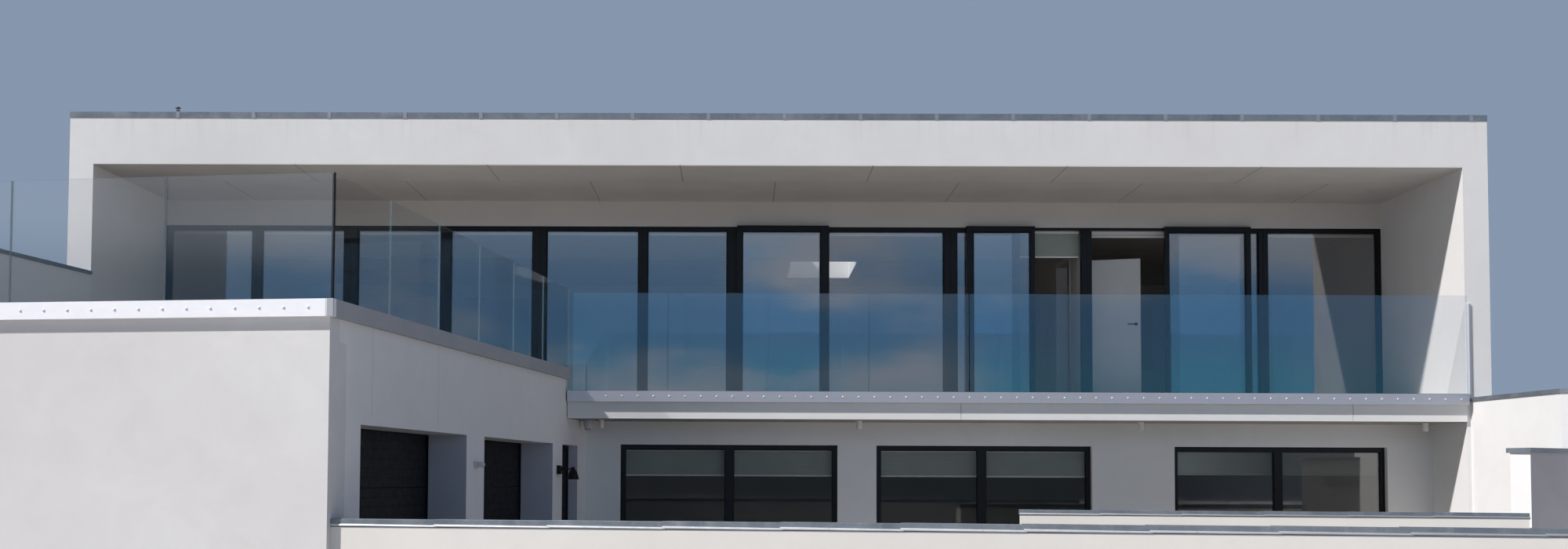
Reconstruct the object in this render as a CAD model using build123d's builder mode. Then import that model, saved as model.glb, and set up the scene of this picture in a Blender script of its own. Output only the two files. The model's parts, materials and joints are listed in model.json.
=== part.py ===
"""Detached two-storey house in white render with a garage wing, after a photograph.

Millimetres, +Z up, +Y from the front towards the back, +X to the right as seen from in front.
The main block stands square to the axes. The garage wing and the courtyard walls are turned WING_TURN
degrees to it, as on the real site. The origin is the centre of the whole footprint at ground level.
"""
import os
from math import cos, radians, sin

from build123d import *

# ---------------------------------------------------------------- driving dimensions
# main block
X_LEFT, X_LEFT_IN = -8665, -8355        # left side wall, outer and inner face
X_RIGHT_IN, X_RIGHT = 9175, 9495        # right side wall, inner and outer face
Y_BACK, BACK_T = 10250, 350              # back face and back wall thickness
Y_LOWER, LOWER_T = 1010, 350            # lower front wall, set back under the balcony
Y_GLAZ = 2600                           # upper glazing, set back under the roof
Z_FLOOR0 = 100                          # lower floor, finished
Z_SLAB0, Z_SLAB1 = 2531, 2840           # upper floor slab
Z_TERRACE, Z_FLOOR1 = 2880, 2900        # paving and inside floor on top of it
Z_HEAD = 5411                           # top of the upper glazing
Z_CEIL = 5500                           # upper ceiling
Z_SOFFIT, SOFFIT_T = 5776, 12           # boards under the roof overhang
Z_ROOF = 6160                           # roof surface inside the parapet
Z_WALLTOP, Z_CAPTOP = 6386, 6460        # top of the render, top of the metal capping
CAP_OUT = 8                             # how far cappings stand out from the render

# garage wing, in its own directions: t runs along its side wall towards the front, w runs across to the left
WING_TURN = 7.88
WING_X = -2233                          # where its side wall meets the main front line
T_FRONT = 7660                          # front face of the wing
W_OUT, W_LEFT_IN = 6371, 6064           # left wall, outer and inner face
WING_T, WING_FRONT_T = 410, 350         # side and front wall thickness
KERB = 200                              # width of the upstand round the roof terrace
Z_KERB = 3150
Z_PARAPET = 4345                        # left wall carried up as a parapet
GATE_TOP = 2195
GATES = [(4115, 6980), (695, 3515)]     # two garage doorways, along t
DOOR = (-565, 229)                      # side doorway, along t
DOOR_SET = 130                          # its frame is set back this far

# glass balustrades
CHAN_T, CHAN_S, GLASS_T = 64, 50, 18    # channel depth in front and at the wing's side
Z_BCH0, Z_BCH1, Z_BGLASS = 2742, 2880, 4130     # balcony channel and glass
Z_WCH0, Z_WCH1, Z_WGLASS = 3026, 3166, 4174     # wing channel and glass

# courtyard walls
Z_COURT, COPING = 1360, 70

SN, CS = sin(radians(WING_TURN)), cos(radians(WING_TURN))


def wing(t, w):
    """Plan point of the wing's own t and w."""
    return (WING_X - SN * t - CS * w, -CS * t + SN * w)


def on_y(y, w):
    """Plan point where the wing line w meets the main block's line y."""
    return wing((SN * w - y) / CS, w)


def meet(a, b, c, d):
    """Plan point where line a-b meets line c-d."""
    x1, y1, x2, y2, x3, y3, x4, y4 = *a, *b, *c, *d
    den = (x1 - x2) * (y3 - y4) - (y1 - y2) * (x3 - x4)
    p, q = x1 * y2 - y1 * x2, x3 * y4 - y3 * x4
    return ((p * (x3 - x4) - (x1 - x2) * q) / den, (p * (y3 - y4) - (y1 - y2) * q) / den)


def prism(points, z0, z1, mode=Mode.ADD):
    """Upright prism on a plan outline, in the part that is being built."""
    with BuildSketch(Plane.XY.offset(z0)) as outline:
        with BuildLine():
            Polyline(*points, close=True)
        make_face()
    extrude(outline.sketch, amount=z1 - z0, mode=mode)


def block(x0, x1, y0, y1, z0, z1, mode=Mode.ADD):
    """Square block between opposite corners, in the part that is being built."""
    with BuildSketch(Plane.XY.offset(z0)) as outline:
        with Locations(((x0 + x1) / 2, (y0 + y1) / 2)):
            Rectangle(abs(x1 - x0), abs(y1 - y0))
    extrude(outline.sketch, amount=z1 - z0, mode=mode)


def wing_block(t0, t1, w0, w1, z0, z1, mode=Mode.ADD):
    """Block square to the garage wing."""
    prism([wing(t0, w0), wing(t1, w0), wing(t1, w1), wing(t0, w1)], z0, z1, mode)


parts = {}


def keep(name, builder):
    builder.part.label = name
    parts[name] = builder.part


# ================================================================ main block: structure
with BuildPart() as ground_floor_slabs:
    block(X_LEFT_IN, X_RIGHT_IN, Y_LOWER + LOWER_T, Y_BACK - BACK_T, 0, Z_FLOOR0)
    prism([on_y(Y_LOWER, WING_T), wing(T_FRONT - WING_FRONT_T, WING_T),
           wing(T_FRONT - WING_FRONT_T, W_LEFT_IN), (X_LEFT_IN, 0), (X_LEFT_IN, Y_LOWER)], 0, 60)
keep("ground_floor_slabs", ground_floor_slabs)

# three wide two-light windows in the lower front wall, and three like them high in the back wall
WIN_LOW = [(-1630, 1268), (1786, 4654), (5752, 8574)]
WIN_Z = (900, 2226)
WIN_BACK = [(-7000, -4130), (-1050, 1820), (4850, 7720)]
WIN_BACK_Z = (3900, 5226)
WIN_SET = 90

with BuildPart() as lower_front_wall:
    block(X_LEFT_IN, X_RIGHT_IN, Y_LOWER, Y_LOWER + LOWER_T, 0, Z_SLAB0)
    for a, b in WIN_LOW:
        block(a, b, Y_LOWER - 10, Y_LOWER + LOWER_T + 10, *WIN_Z, mode=Mode.SUBTRACT)
keep("lower_front_wall", lower_front_wall)

with BuildPart() as back_wall:
    block(X_LEFT_IN, X_RIGHT_IN, Y_BACK - BACK_T, Y_BACK, 0, Z_WALLTOP)
    for a, b in WIN_BACK:
        block(a, b, Y_BACK - BACK_T - 10, Y_BACK + 10, *WIN_BACK_Z, mode=Mode.SUBTRACT)
keep("back_wall", back_wall)

with BuildPart() as left_side_wall:
    block(X_LEFT, X_LEFT_IN, 0, Y_BACK, 0, Z_WALLTOP)
keep("left_side_wall", left_side_wall)

with BuildPart() as right_side_wall:
    block(X_RIGHT_IN, X_RIGHT, 0, Y_BACK, 0, Z_WALLTOP)
keep("right_side_wall", right_side_wall)

with BuildPart() as upper_floor_slab:
    block(X_LEFT_IN, X_RIGHT_IN, 0, Y_BACK - BACK_T, Z_SLAB0, Z_SLAB1)
keep("upper_floor_slab", upper_floor_slab)

with BuildPart() as upper_floor_boards:
    block(X_LEFT_IN, X_RIGHT_IN, Y_GLAZ + 100, Y_BACK - BACK_T, Z_SLAB1, Z_FLOOR1)
keep("upper_floor_boards", upper_floor_boards)

# rendered strip between the glazing and the soffit
with BuildPart() as upper_front_lintel:
    block(X_LEFT_IN, X_RIGHT_IN, Y_GLAZ - 10, Y_GLAZ + 290, Z_HEAD, Z_SOFFIT)
keep("upper_front_lintel", upper_front_lintel)

# a rooflight, with its shaft down through the roof and the ceiling
ROOFLIGHTS = [(810, 1950, 6600, 8800)]
with BuildPart() as upper_ceiling:
    block(X_LEFT_IN, X_RIGHT_IN, Y_GLAZ + 290, Y_BACK - BACK_T, Z_CEIL, Z_SOFFIT)
    for a, b, c, d in ROOFLIGHTS:
        block(a, b, c, d, Z_CEIL - 10, Z_SOFFIT + 10, mode=Mode.SUBTRACT)
keep("upper_ceiling", upper_ceiling)

with BuildPart() as roof_slab:
    block(X_LEFT_IN, X_RIGHT_IN, 300, Y_GLAZ - 10, Z_SOFFIT + SOFFIT_T, Z_ROOF)
    block(X_LEFT_IN, X_RIGHT_IN, Y_GLAZ - 10, Y_BACK - BACK_T, Z_SOFFIT, Z_ROOF)
    for a, b, c, d in ROOFLIGHTS:
        block(a, b, c, d, Z_SOFFIT - 10, Z_ROOF + 10, mode=Mode.SUBTRACT)
keep("roof_slab", roof_slab)

with BuildPart() as roof_front_beam:
    block(X_LEFT_IN, X_RIGHT_IN, 0, 300, Z_SOFFIT + SOFFIT_T, Z_WALLTOP)
keep("roof_front_beam", roof_front_beam)

# four runs of capping, with an open mitre at each corner
CX = (X_LEFT - CAP_OUT, X_LEFT_IN + CAP_OUT, X_RIGHT_IN - CAP_OUT, X_RIGHT + CAP_OUT)
CY = (-CAP_OUT, 300 + CAP_OUT, Y_BACK - BACK_T - CAP_OUT, Y_BACK + CAP_OUT)
MG = 2
with BuildPart() as roof_capping:
    for run in ([(CX[0] + MG, CY[0]), (CX[3] - MG, CY[0]), (CX[2] - MG, CY[1]), (CX[1] + MG, CY[1])],
                [(CX[0] + MG, CY[3]), (CX[3] - MG, CY[3]), (CX[2] - MG, CY[2]), (CX[1] + MG, CY[2])],
                [(CX[0], CY[0] + MG), (CX[1], CY[1] + MG), (CX[1], CY[2] - MG), (CX[0], CY[3] - MG)],
                [(CX[3], CY[0] + MG), (CX[2], CY[1] + MG), (CX[2], CY[2] - MG), (CX[3], CY[3] - MG)]):
        prism(run, Z_WALLTOP, Z_CAPTOP)
keep("roof_capping", roof_capping)

# soffit boards in two staggered rows with open joints
ROW1 = [X_LEFT_IN, -5765, -3290, -815, 1660, 4140, 6620, X_RIGHT_IN]
ROW2 = [X_LEFT_IN, -7040, -4570, -2070, 430, 2910, 5390, 7880, X_RIGHT_IN]
JOINT = 8
with BuildPart() as soffit_boards:
    for row, y0, y1 in ((ROW1, 0, 1096), (ROW2, 1104, Y_GLAZ - 10)):
        for a, b in zip(row, row[1:]):
            block(a + (0 if a == row[0] else JOINT / 2), b - (0 if b == row[-1] else JOINT / 2),
                  y0, y1, Z_SOFFIT, Z_SOFFIT + SOFFIT_T)
keep("soffit_boards", soffit_boards)

# ================================================================ upper glazing
FRAME_D = 90
with BuildPart() as glazing_head_rail:
    block(X_LEFT_IN, X_RIGHT_IN, Y_GLAZ, Y_GLAZ + FRAME_D, Z_HEAD - 35, Z_HEAD)
keep("glazing_head_rail", glazing_head_rail)

# sill on the slab, with the outer track for the sliding sashes in front
with BuildPart() as glazing_sill_rail:
    block(X_LEFT_IN, X_RIGHT_IN, Y_GLAZ, Y_GLAZ + FRAME_D, Z_SLAB1, Z_FLOOR1 + 35)
    block(X_LEFT_IN, X_RIGHT_IN, Y_GLAZ - FRAME_D - 10, Y_GLAZ, Z_SLAB1, Z_TERRACE + 10)
keep("glazing_sill_rail", glazing_sill_rail)

# posts, left to right: (from, to)
POSTS = [(-8355, -8278), (-7102, -6962), (-5770, -5570), (-4365, -4223), (-3040, -2841), (-1508, -1382),
         (-229, -25), (1113, 1231), (2894, 3080), (3896, 3986), (4870, 5023), (6158, 6268), (7418, 7551),
         (9113, 9175)]
OPEN_BAYS = [(3986, 4870), (5023, 6158)]    # the two sliding doors stand open here
FIX_RAIL = 36
with BuildPart() as glazing_posts:
    for a, b in POSTS:
        block(a, b, Y_GLAZ, Y_GLAZ + FRAME_D, Z_FLOOR1 + 35, Z_HEAD - 35)
keep("glazing_posts", glazing_posts)

# rails along the top and bottom of each fixed light, and its glass
BAYS = [(a[1], b[0]) for a, b in zip(POSTS, POSTS[1:])]
FIXED = [bay for bay in BAYS if bay not in OPEN_BAYS]
with BuildPart() as fixed_light_rails:
    for a, b in FIXED:
        block(a, b, Y_GLAZ + 10, Y_GLAZ + 80, Z_HEAD - 35 - FIX_RAIL, Z_HEAD - 35)
        block(a, b, Y_GLAZ + 10, Y_GLAZ + 80, Z_FLOOR1 + 35, Z_FLOOR1 + 35 + 60)
keep("fixed_light_rails", fixed_light_rails)

with BuildPart() as glazing_panes:
    for a, b in FIXED:
        block(a, b, Y_GLAZ + 33, Y_GLAZ + 57, Z_FLOOR1 + 95, Z_HEAD - 35 - FIX_RAIL)
keep("glazing_panes", glazing_panes)

# sliding sashes in the outer track: two pushed open, one closed. (from, to, left stile, right stile)
SASHES = [(3212, 4190, 90, 65), (6058, 7284, 48, 72), (-85, 1231, 70, 112)]
SASH_Y = (Y_GLAZ - 85, Y_GLAZ - 15)
SASH_Z = (Z_TERRACE + 10, Z_HEAD)
with BuildPart() as sliding_sashes:
    for a, b, ls, rs in SASHES:
        block(a, b, *SASH_Y, *SASH_Z)
        block(a + ls, b - rs, SASH_Y[0] - 10, SASH_Y[1] + 10, SASH_Z[0] + 90, SASH_Z[1] - 70,
              mode=Mode.SUBTRACT)
keep("sliding_sashes", sliding_sashes)

with BuildPart() as sliding_sash_glass:
    for a, b, ls, rs in SASHES:
        block(a + ls, b - rs, SASH_Y[0] + 25, SASH_Y[0] + 49, SASH_Z[0] + 90, SASH_Z[1] - 70)
keep("sliding_sash_glass", sliding_sash_glass)

# ================================================================ what shows inside the open doors
PART_X = (4872, 5021)
IN_DOOR = (3440, 4360)                  # doorway in the partition, along y
with BuildPart() as partition_wall:
    block(*PART_X, Y_GLAZ + FRAME_D + 10, Y_GLAZ + 289, Z_FLOOR1, Z_HEAD - 1)
    block(*PART_X, Y_GLAZ + 290, IN_DOOR[0] - 1, Z_FLOOR1, Z_CEIL)
    block(*PART_X, *IN_DOOR, Z_FLOOR1 + 2170, Z_CEIL)
    block(*PART_X, IN_DOOR[1] + 1, Y_BACK - BACK_T, Z_FLOOR1, Z_CEIL)
keep("partition_wall", partition_wall)

# the white door leaf stands ajar, hung at the near side of that doorway
with BuildPart() as interior_door:
    with BuildSketch(Plane.XY.offset(Z_FLOOR1 + 8)):
        with Locations(Location((PART_X[1] + 26, IN_DOOR[0] - 6, 0), (0, 0, -18.6))):
            Rectangle(860, 40, align=(Align.MIN, Align.CENTER))
    extrude(amount=2140)
keep("interior_door", interior_door)

# ================================================================ windows with frames, glass and blinds
WF = 56                                 # frame width
MULL = 104
GLASS2 = 24


def window_frame(a, b, z0, z1, y0, y1, m):
    block(a, b, y0, y1, z0, z1)
    for c, d in ((a + WF, m - MULL / 2), (m + MULL / 2, b - WF)):
        block(c, d, y0 - 10, y1 + 10, z0 + WF, z1 - WF, mode=Mode.SUBTRACT)


def window_lights(a, b, m):
    return (a + WF, m - MULL / 2), (m + MULL / 2, b - WF)


MULL_LOW = [-175, 3200, 7155]
with BuildPart() as lower_window_frames:
    for (a, b), m in zip(WIN_LOW, MULL_LOW):
        window_frame(a, b, *WIN_Z, Y_LOWER + WIN_SET, Y_LOWER + WIN_SET + 80, m)
keep("lower_window_frames", lower_window_frames)

with BuildPart() as back_window_frames:
    for a, b in WIN_BACK:
        window_frame(a, b, *WIN_BACK_Z, Y_BACK - WIN_SET - 80, Y_BACK - WIN_SET, (a + b) / 2)
keep("back_window_frames", back_window_frames)

with BuildPart() as window_glass:
    for (a, b), m in zip(WIN_LOW, MULL_LOW):
        for c, d in window_lights(a, b, m):
            block(c, d, Y_LOWER + WIN_SET + 28, Y_LOWER + WIN_SET + 28 + GLASS2, WIN_Z[0] + WF, WIN_Z[1] - WF)
    for a, b in WIN_BACK:
        for c, d in window_lights(a, b, (a + b) / 2):
            block(c, d, Y_BACK - WIN_SET - 28 - GLASS2, Y_BACK - WIN_SET - 28,
                  WIN_BACK_Z[0] + WF, WIN_BACK_Z[1] - WF)
keep("window_glass", window_glass)

# slatted blinds, lowered part of the way behind the lower windows and in the open upper doorways
BLIND_Y = Y_LOWER + WIN_SET + 95
with BuildPart() as blinds:
    for (a, b), m, z in zip(WIN_LOW, MULL_LOW, (1808, 1808, 1850)):
        for c, d in window_lights(a, b, m):
            block(c - 12, d + 12, BLIND_Y, BLIND_Y + 30, z, WIN_Z[1] - WF + 30)
    block(3995, 4860, Y_GLAZ + 105, Y_GLAZ + 135, 4990, Z_HEAD - 4)
    block(5034, 6146, Y_GLAZ + 105, Y_GLAZ + 135, 5285, Z_HEAD - 4)
keep("blinds", blinds)

# ================================================================ rooflight
with BuildPart() as rooflight_kerb:
    for a, b, c, d in ROOFLIGHTS:
        block(a - 80, b + 80, c - 80, d + 80, Z_ROOF, Z_ROOF + 150)
        block(a, b, c, d, Z_ROOF - 10, Z_ROOF + 160, mode=Mode.SUBTRACT)
keep("rooflight_kerb", rooflight_kerb)

with BuildPart() as rooflight_glass:
    for a, b, c, d in ROOFLIGHTS:
        block(a - 60, b + 60, c - 60, d + 60, Z_ROOF + 150, Z_ROOF + 180)
keep("rooflight_glass", rooflight_glass)

# small vent pipe behind the left end of the parapet
VENT = (-7460, 500)
with BuildPart() as roof_vent:
    with BuildSketch(Plane.XY.offset(Z_ROOF)):
        with Locations(VENT):
            Circle(19)
    extrude(amount=450)
    with BuildSketch(Plane.XY.offset(Z_ROOF + 450)):
        with Locations(VENT):
            Circle(40)
    extrude(amount=12)
    with BuildSketch(Plane.XY.offset(Z_ROOF + 462)):
        with Locations(VENT):
            Circle(39)
    extrude(amount=34, taper=40)
keep("roof_vent", roof_vent)

# ================================================================ garage wing
T_IN = T_FRONT - WING_FRONT_T           # inner face of the front wall
with BuildPart() as garage_front_wall:
    wing_block(T_IN, T_FRONT, 0, W_LEFT_IN, 0, Z_SLAB1)
    wing_block(T_FRONT - KERB, T_FRONT, 0, W_LEFT_IN, Z_SLAB1, Z_KERB)
keep("garage_front_wall", garage_front_wall)

with BuildPart() as garage_left_wall:
    prism([wing(T_IN, W_LEFT_IN), wing(T_FRONT, W_LEFT_IN), wing(T_FRONT, W_OUT), (X_LEFT, 0), (X_LEFT_IN, 0)],
          0, Z_PARAPET)
keep("garage_left_wall", garage_left_wall)

# side wall: piers beside the doorways, and one long lintel with the terrace upstand over them
PIERS = [(GATES[0][1], T_IN), (GATES[1][1], GATES[0][0]), (DOOR[1], GATES[1][0])]
with BuildPart() as garage_side_piers:
    for a, b in PIERS:
        wing_block(a, b, 0, WING_T, 0, GATE_TOP)
    prism([on_y(Y_LOWER, 0), wing(DOOR[0], 0), wing(DOOR[0], WING_T), on_y(Y_LOWER, WING_T)], 0, GATE_TOP)
keep("garage_side_piers", garage_side_piers)

with BuildPart() as garage_side_lintel:
    prism([on_y(Y_LOWER, 0), wing(T_IN, 0), wing(T_IN, WING_T), on_y(Y_LOWER, WING_T)], GATE_TOP, Z_SLAB0)
    prism([on_y(0, 0), wing(T_IN, 0), wing(T_IN, WING_T), on_y(0, WING_T)], Z_SLAB0, Z_SLAB1)
    prism([on_y(0, 0), wing(T_FRONT - KERB, 0), wing(T_FRONT - KERB, KERB), on_y(0, KERB)], Z_SLAB1, Z_KERB)
keep("garage_side_lintel", garage_side_lintel)

with BuildPart() as garage_roof_slab:
    prism([on_y(0, WING_T), wing(T_IN, WING_T), wing(T_IN, W_LEFT_IN), (X_LEFT_IN, 0)], Z_SLAB0, Z_SLAB1)
keep("garage_roof_slab", garage_roof_slab)

# two overhead doors, four ribbed sections each, at the inner face of the deep reveals
DOOR_T = 45
with BuildPart() as garage_doors:
    for a, b in GATES:
        wing_block(a - 60, b + 60, WING_T + 4, WING_T + 4 + DOOR_T, 62, GATE_TOP + 60)
        for i in (1, 2, 3):
            z = 62 + (GATE_TOP - 62) * i / 4
            wing_block(a - 70, b + 70, WING_T - 6, WING_T + 10, z - 4, z + 4, mode=Mode.SUBTRACT)
keep("garage_doors", garage_doors)

# side door: frame fixed in the wall, leaf hung on the far jamb and opening inwards
DF = 45
DFW = (DOOR_SET - 10, DOOR_SET + 80)
with BuildPart() as side_door_frame:
    wing_block(DOOR[0], DOOR[0] + DF, *DFW, 60, GATE_TOP)
    wing_block(DOOR[1] - DF, DOOR[1], *DFW, 60, GATE_TOP)
    wing_block(DOOR[0] + DF + 1, DOOR[1] - DF - 1, *DFW, GATE_TOP - DF, GATE_TOP)
    wing_block(DOOR[0] + DF + 1, DOOR[1] - DF - 1, *DFW, 60, 72)
keep("side_door_frame", side_door_frame)

GAP = 8
LEAF = (DOOR[0] + DF + GAP, DOOR[1] - DF - GAP)
LEAF_W = (DOOR_SET, DOOR_SET + 56)
HINGE_T, HINGE_W = LEAF[0], LEAF_W[1]
HINGE_Z, HINGE_H = (350, 1120, 1900), 100
KNUCKLE_R, PIN_R = 7, 3.5


def barrel(radius, z0, z1, mode=Mode.ADD):
    """Upright round bar on the side door's hinge axis, in the part that is being built."""
    with BuildSketch(Plane.XY.offset(z0)) as outline:
        with Locations(wing(HINGE_T, HINGE_W)):
            Circle(radius)
    extrude(outline.sketch, amount=z1 - z0, mode=mode)


with BuildPart() as side_door_leaf:
    wing_block(*LEAF, *LEAF_W, 72 + GAP, GATE_TOP - DF - GAP)
    for z in HINGE_Z:       # its corner is cut back round each hinge
        barrel(KNUCKLE_R + 1, z - 2, z + HINGE_H + 2, Mode.SUBTRACT)
keep("side_door_leaf", side_door_leaf)

# three hinges: the pin and the outer knuckles sit on the jamb, the middle knuckle and its strap on the leaf
with BuildPart() as side_door_hinges:
    for z in HINGE_Z:
        for z0, z1 in ((z, z + 32), (z + 68, z + HINGE_H)):
            barrel(KNUCKLE_R, z0, z1)
            wing_block(DOOR[0] + DF, HINGE_T, HINGE_W - 3, HINGE_W + 3, z0, z1)
        barrel(PIN_R, z, z + HINGE_H)
keep("side_door_hinges", side_door_hinges)

with BuildPart() as side_door_hinge_straps:
    for z in HINGE_Z:
        barrel(KNUCKLE_R, z + 34, z + 66)
        wing_block(HINGE_T, HINGE_T + 62, HINGE_W, HINGE_W + 3, z + 34, z + 66)
        barrel(PIN_R + 0.3, z + 34, z + 66, Mode.SUBTRACT)
keep("side_door_hinge_straps", side_door_hinge_straps)

# lever handles on both faces of the leaf, towards its free edge
HZ = 1080
HT = LEAF[1] - 75
with BuildPart() as side_door_handle:
    for w0, w1, w2 in ((LEAF_W[0], LEAF_W[0] - 8, LEAF_W[0] - 50), (LEAF_W[1], LEAF_W[1] + 8, LEAF_W[1] + 50)):
        wing_block(HT - 20, HT + 20, min(w0, w1), max(w0, w1), HZ - 120, HZ + 60)
        wing_block(HT - 9, HT + 9, min(w1, w2), max(w1, w2), HZ - 9, HZ + 9)
        wing_block(HT - 125, HT + 9, min(w2, w2 + (14 if w2 < w1 else -14)), max(w2, w2 + (14 if w2 < w1 else -14)),
                   HZ - 9, HZ + 9)
keep("side_door_handle", side_door_handle)

# ================================================================ roof terrace
K_IN = T_FRONT - KERB
with BuildPart() as terrace_paving:
    block(X_LEFT_IN, X_RIGHT_IN, 3, Y_GLAZ - FRAME_D - 10, Z_SLAB1, Z_TERRACE)
    prism([on_y(0, KERB), wing(K_IN, KERB), wing(K_IN, W_LEFT_IN), wing(T_IN, W_LEFT_IN), (X_LEFT_IN, 0)],
          Z_SLAB1, Z_TERRACE)
keep("terrace_paving", terrace_paving)

# metal sheet on top of the upstand, behind the glass
with BuildPart() as terrace_kerb_capping:
    prism([on_y(0, 0), wing(T_FRONT - 3, 0), wing(K_IN - 15, KERB + 12), on_y(0, KERB + 12)], Z_KERB, Z_KERB + 16)
    prism([wing(T_FRONT, 0), wing(T_FRONT, W_LEFT_IN), wing(K_IN - 12, W_LEFT_IN), wing(K_IN - 12, KERB + 12)],
          Z_KERB, Z_KERB + 16)
keep("terrace_kerb_capping", terrace_kerb_capping)

SLOT = (16, 38)                         # glass slot, measured from the wall face outwards
with BuildPart() as terrace_channel_front:
    wing_block(T_FRONT, T_FRONT + CHAN_T, -CHAN_S, W_OUT, Z_WCH0, Z_WCH1)
    wing_block(T_FRONT + SLOT[0], T_FRONT + SLOT[1], -SLOT[1], W_OUT + 10, Z_WCH0 + 30, Z_WCH1 + 10, mode=Mode.SUBTRACT)
keep("terrace_channel_front", terrace_channel_front)

with BuildPart() as terrace_channel_side:
    prism([on_y(-25, 0), wing(T_FRONT, 0), wing(T_FRONT, -CHAN_S), on_y(-25, -CHAN_S)], Z_WCH0, Z_WCH1)
    prism([on_y(-35, -SLOT[0]), wing(T_FRONT + 10, -SLOT[0]), wing(T_FRONT + 10, -SLOT[1]), on_y(-35, -SLOT[1])],
          Z_WCH0 + 30, Z_WCH1 + 10, mode=Mode.SUBTRACT)
keep("terrace_channel_side", terrace_channel_side)

# glass sheets with open joints: along the front (w) and along the side (t)
G0, G1 = 18, 36
FRONT_JOINTS = [0, 1395, 2745, 4095, 5445, W_OUT]
SIDE_JOINTS = [7660, 6423, 5119, 3838, 2571, 1321, 80]
GLASS_GAP = 12
with BuildPart() as terrace_glass:
    for a, b in zip(FRONT_JOINTS, FRONT_JOINTS[1:]):
        a0 = -G1 if a == 0 else a + GLASS_GAP / 2
        wing_block(T_FRONT + G0, T_FRONT + G1, a0, b - GLASS_GAP / 2, Z_WCH0 + 30, Z_WGLASS)
    for a, b in zip(SIDE_JOINTS, SIDE_JOINTS[1:]):
        wing_block(b + GLASS_GAP / 2, a - (2 if a == 7660 else GLASS_GAP / 2), -G1, -G0, Z_WCH0 + 30, Z_WGLASS)
keep("terrace_glass", terrace_glass)

with BuildPart() as parapet_coping:
    prism([(X_LEFT_IN + 20, -1), wing(T_FRONT + 12, W_LEFT_IN - 20), wing(T_FRONT + 12, W_OUT + 20), (X_LEFT - 20, -1)],
          Z_PARAPET, Z_PARAPET + 48)
keep("parapet_coping", parapet_coping)

# ================================================================ balcony edge
BF = 30                                 # fascia board thickness
BY = (-BF - CHAN_T, -BF)                # channel, front and back
BX = (-2226, X_RIGHT_IN - 6)
with BuildPart() as balcony_fascia_boards:
    for a, b in ((BX[0], 2768), (2774, 7725), (7731, X_RIGHT_IN - 6)):
        block(a, b, -BF, 0, Z_SLAB0, Z_BCH1)
keep("balcony_fascia_boards", balcony_fascia_boards)

with BuildPart() as balcony_channel:
    block(*BX, *BY, Z_BCH0, Z_BCH1)
    block(BX[0] - 10, BX[1] + 10, BY[1] - SLOT[1], BY[1] - SLOT[0], Z_BCH0 + 30, Z_BCH1 + 10, mode=Mode.SUBTRACT)
keep("balcony_channel", balcony_channel)

BAL_JOINTS = [-2165, -953, 323, 1598, 2873, 4148, 5423, 6698, 7973, X_RIGHT_IN]
with BuildPart() as balcony_glass:
    for a, b in zip(BAL_JOINTS, BAL_JOINTS[1:]):
        block(a + GLASS_GAP / 2, b - GLASS_GAP / 2, BY[1] - G1, BY[1] - G0, Z_BCH0 + 30, Z_BGLASS)
keep("balcony_glass", balcony_glass)

# upright end profile, flat on the right leg beside the last sheet
with BuildPart() as balcony_end_post:
    block(X_RIGHT_IN + 2, X_RIGHT_IN + 60, -18, 0, Z_BCH1, 4035)
keep("balcony_end_post", balcony_end_post)

# lamps under the balcony
with BuildPart() as balcony_downlights:
    for x in (-1845, 1517, 5176, 8866):
        with BuildSketch(Plane.XY.offset(Z_SLAB0)):
            with Locations((x, 500)):
                Circle(36)
        extrude(amount=-105)
keep("balcony_downlights", balcony_downlights)

# ================================================================ small fittings
LAMP_T, LAMP_Z = 462, 1872
with BuildPart() as wall_lamp:
    wing_block(LAMP_T - 40, LAMP_T + 40, -50, 0, LAMP_Z - 55, LAMP_Z + 55)
    wing_block(LAMP_T - 8, LAMP_T + 8, -200, -50, LAMP_Z + 4, LAMP_Z + 20)
    for r0, z0, r1, z1 in ((75, -118, 63, -66), (63, -66, 46, -16), (46, -16, 24, 12)):
        with BuildSketch(Plane(origin=(*wing(LAMP_T, -200), LAMP_Z + z0))):
            Circle(r0)
        with BuildSketch(Plane(origin=(*wing(LAMP_T, -200), LAMP_Z + z1))):
            Circle(r1)
        loft()
    with BuildSketch(Plane(origin=(*wing(LAMP_T, -200), LAMP_Z + 12))):
        Circle(24)
    extrude(amount=25)
keep("wall_lamp", wall_lamp)

with BuildPart() as wall_sensors:
    wing_block(3760, 3870, -96, 0, 1858, 1934)
    with BuildSketch(Plane(origin=(-2020, 640, Z_SLAB0))):
        Circle(72)
    extrude(amount=-72)
    with BuildSketch(Plane(origin=(-2020, 640, Z_SLAB0 - 72))):
        Circle(63)
    extrude(amount=-66, taper=25)
keep("wall_sensors", wall_sensors)

# ================================================================ courtyard and retaining walls
# retaining wall from the right leg, turning away outwards
R0, R1 = (X_RIGHT_IN + 52, 0), (9370, -1930)
R2 = (R1[0] + 0.92 * 1500, R1[1] - 0.392 * 1500)
RT = 300


def offset_right(p, q, d):
    """Line p-q moved d to its left-hand side when walking from p to q."""
    dx, dy = q[0] - p[0], q[1] - p[1]
    n = (dx * dx + dy * dy) ** 0.5
    ox, oy = -dy / n * d, dx / n * d
    return (p[0] + ox, p[1] + oy), (q[0] + ox, q[1] + oy)


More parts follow.
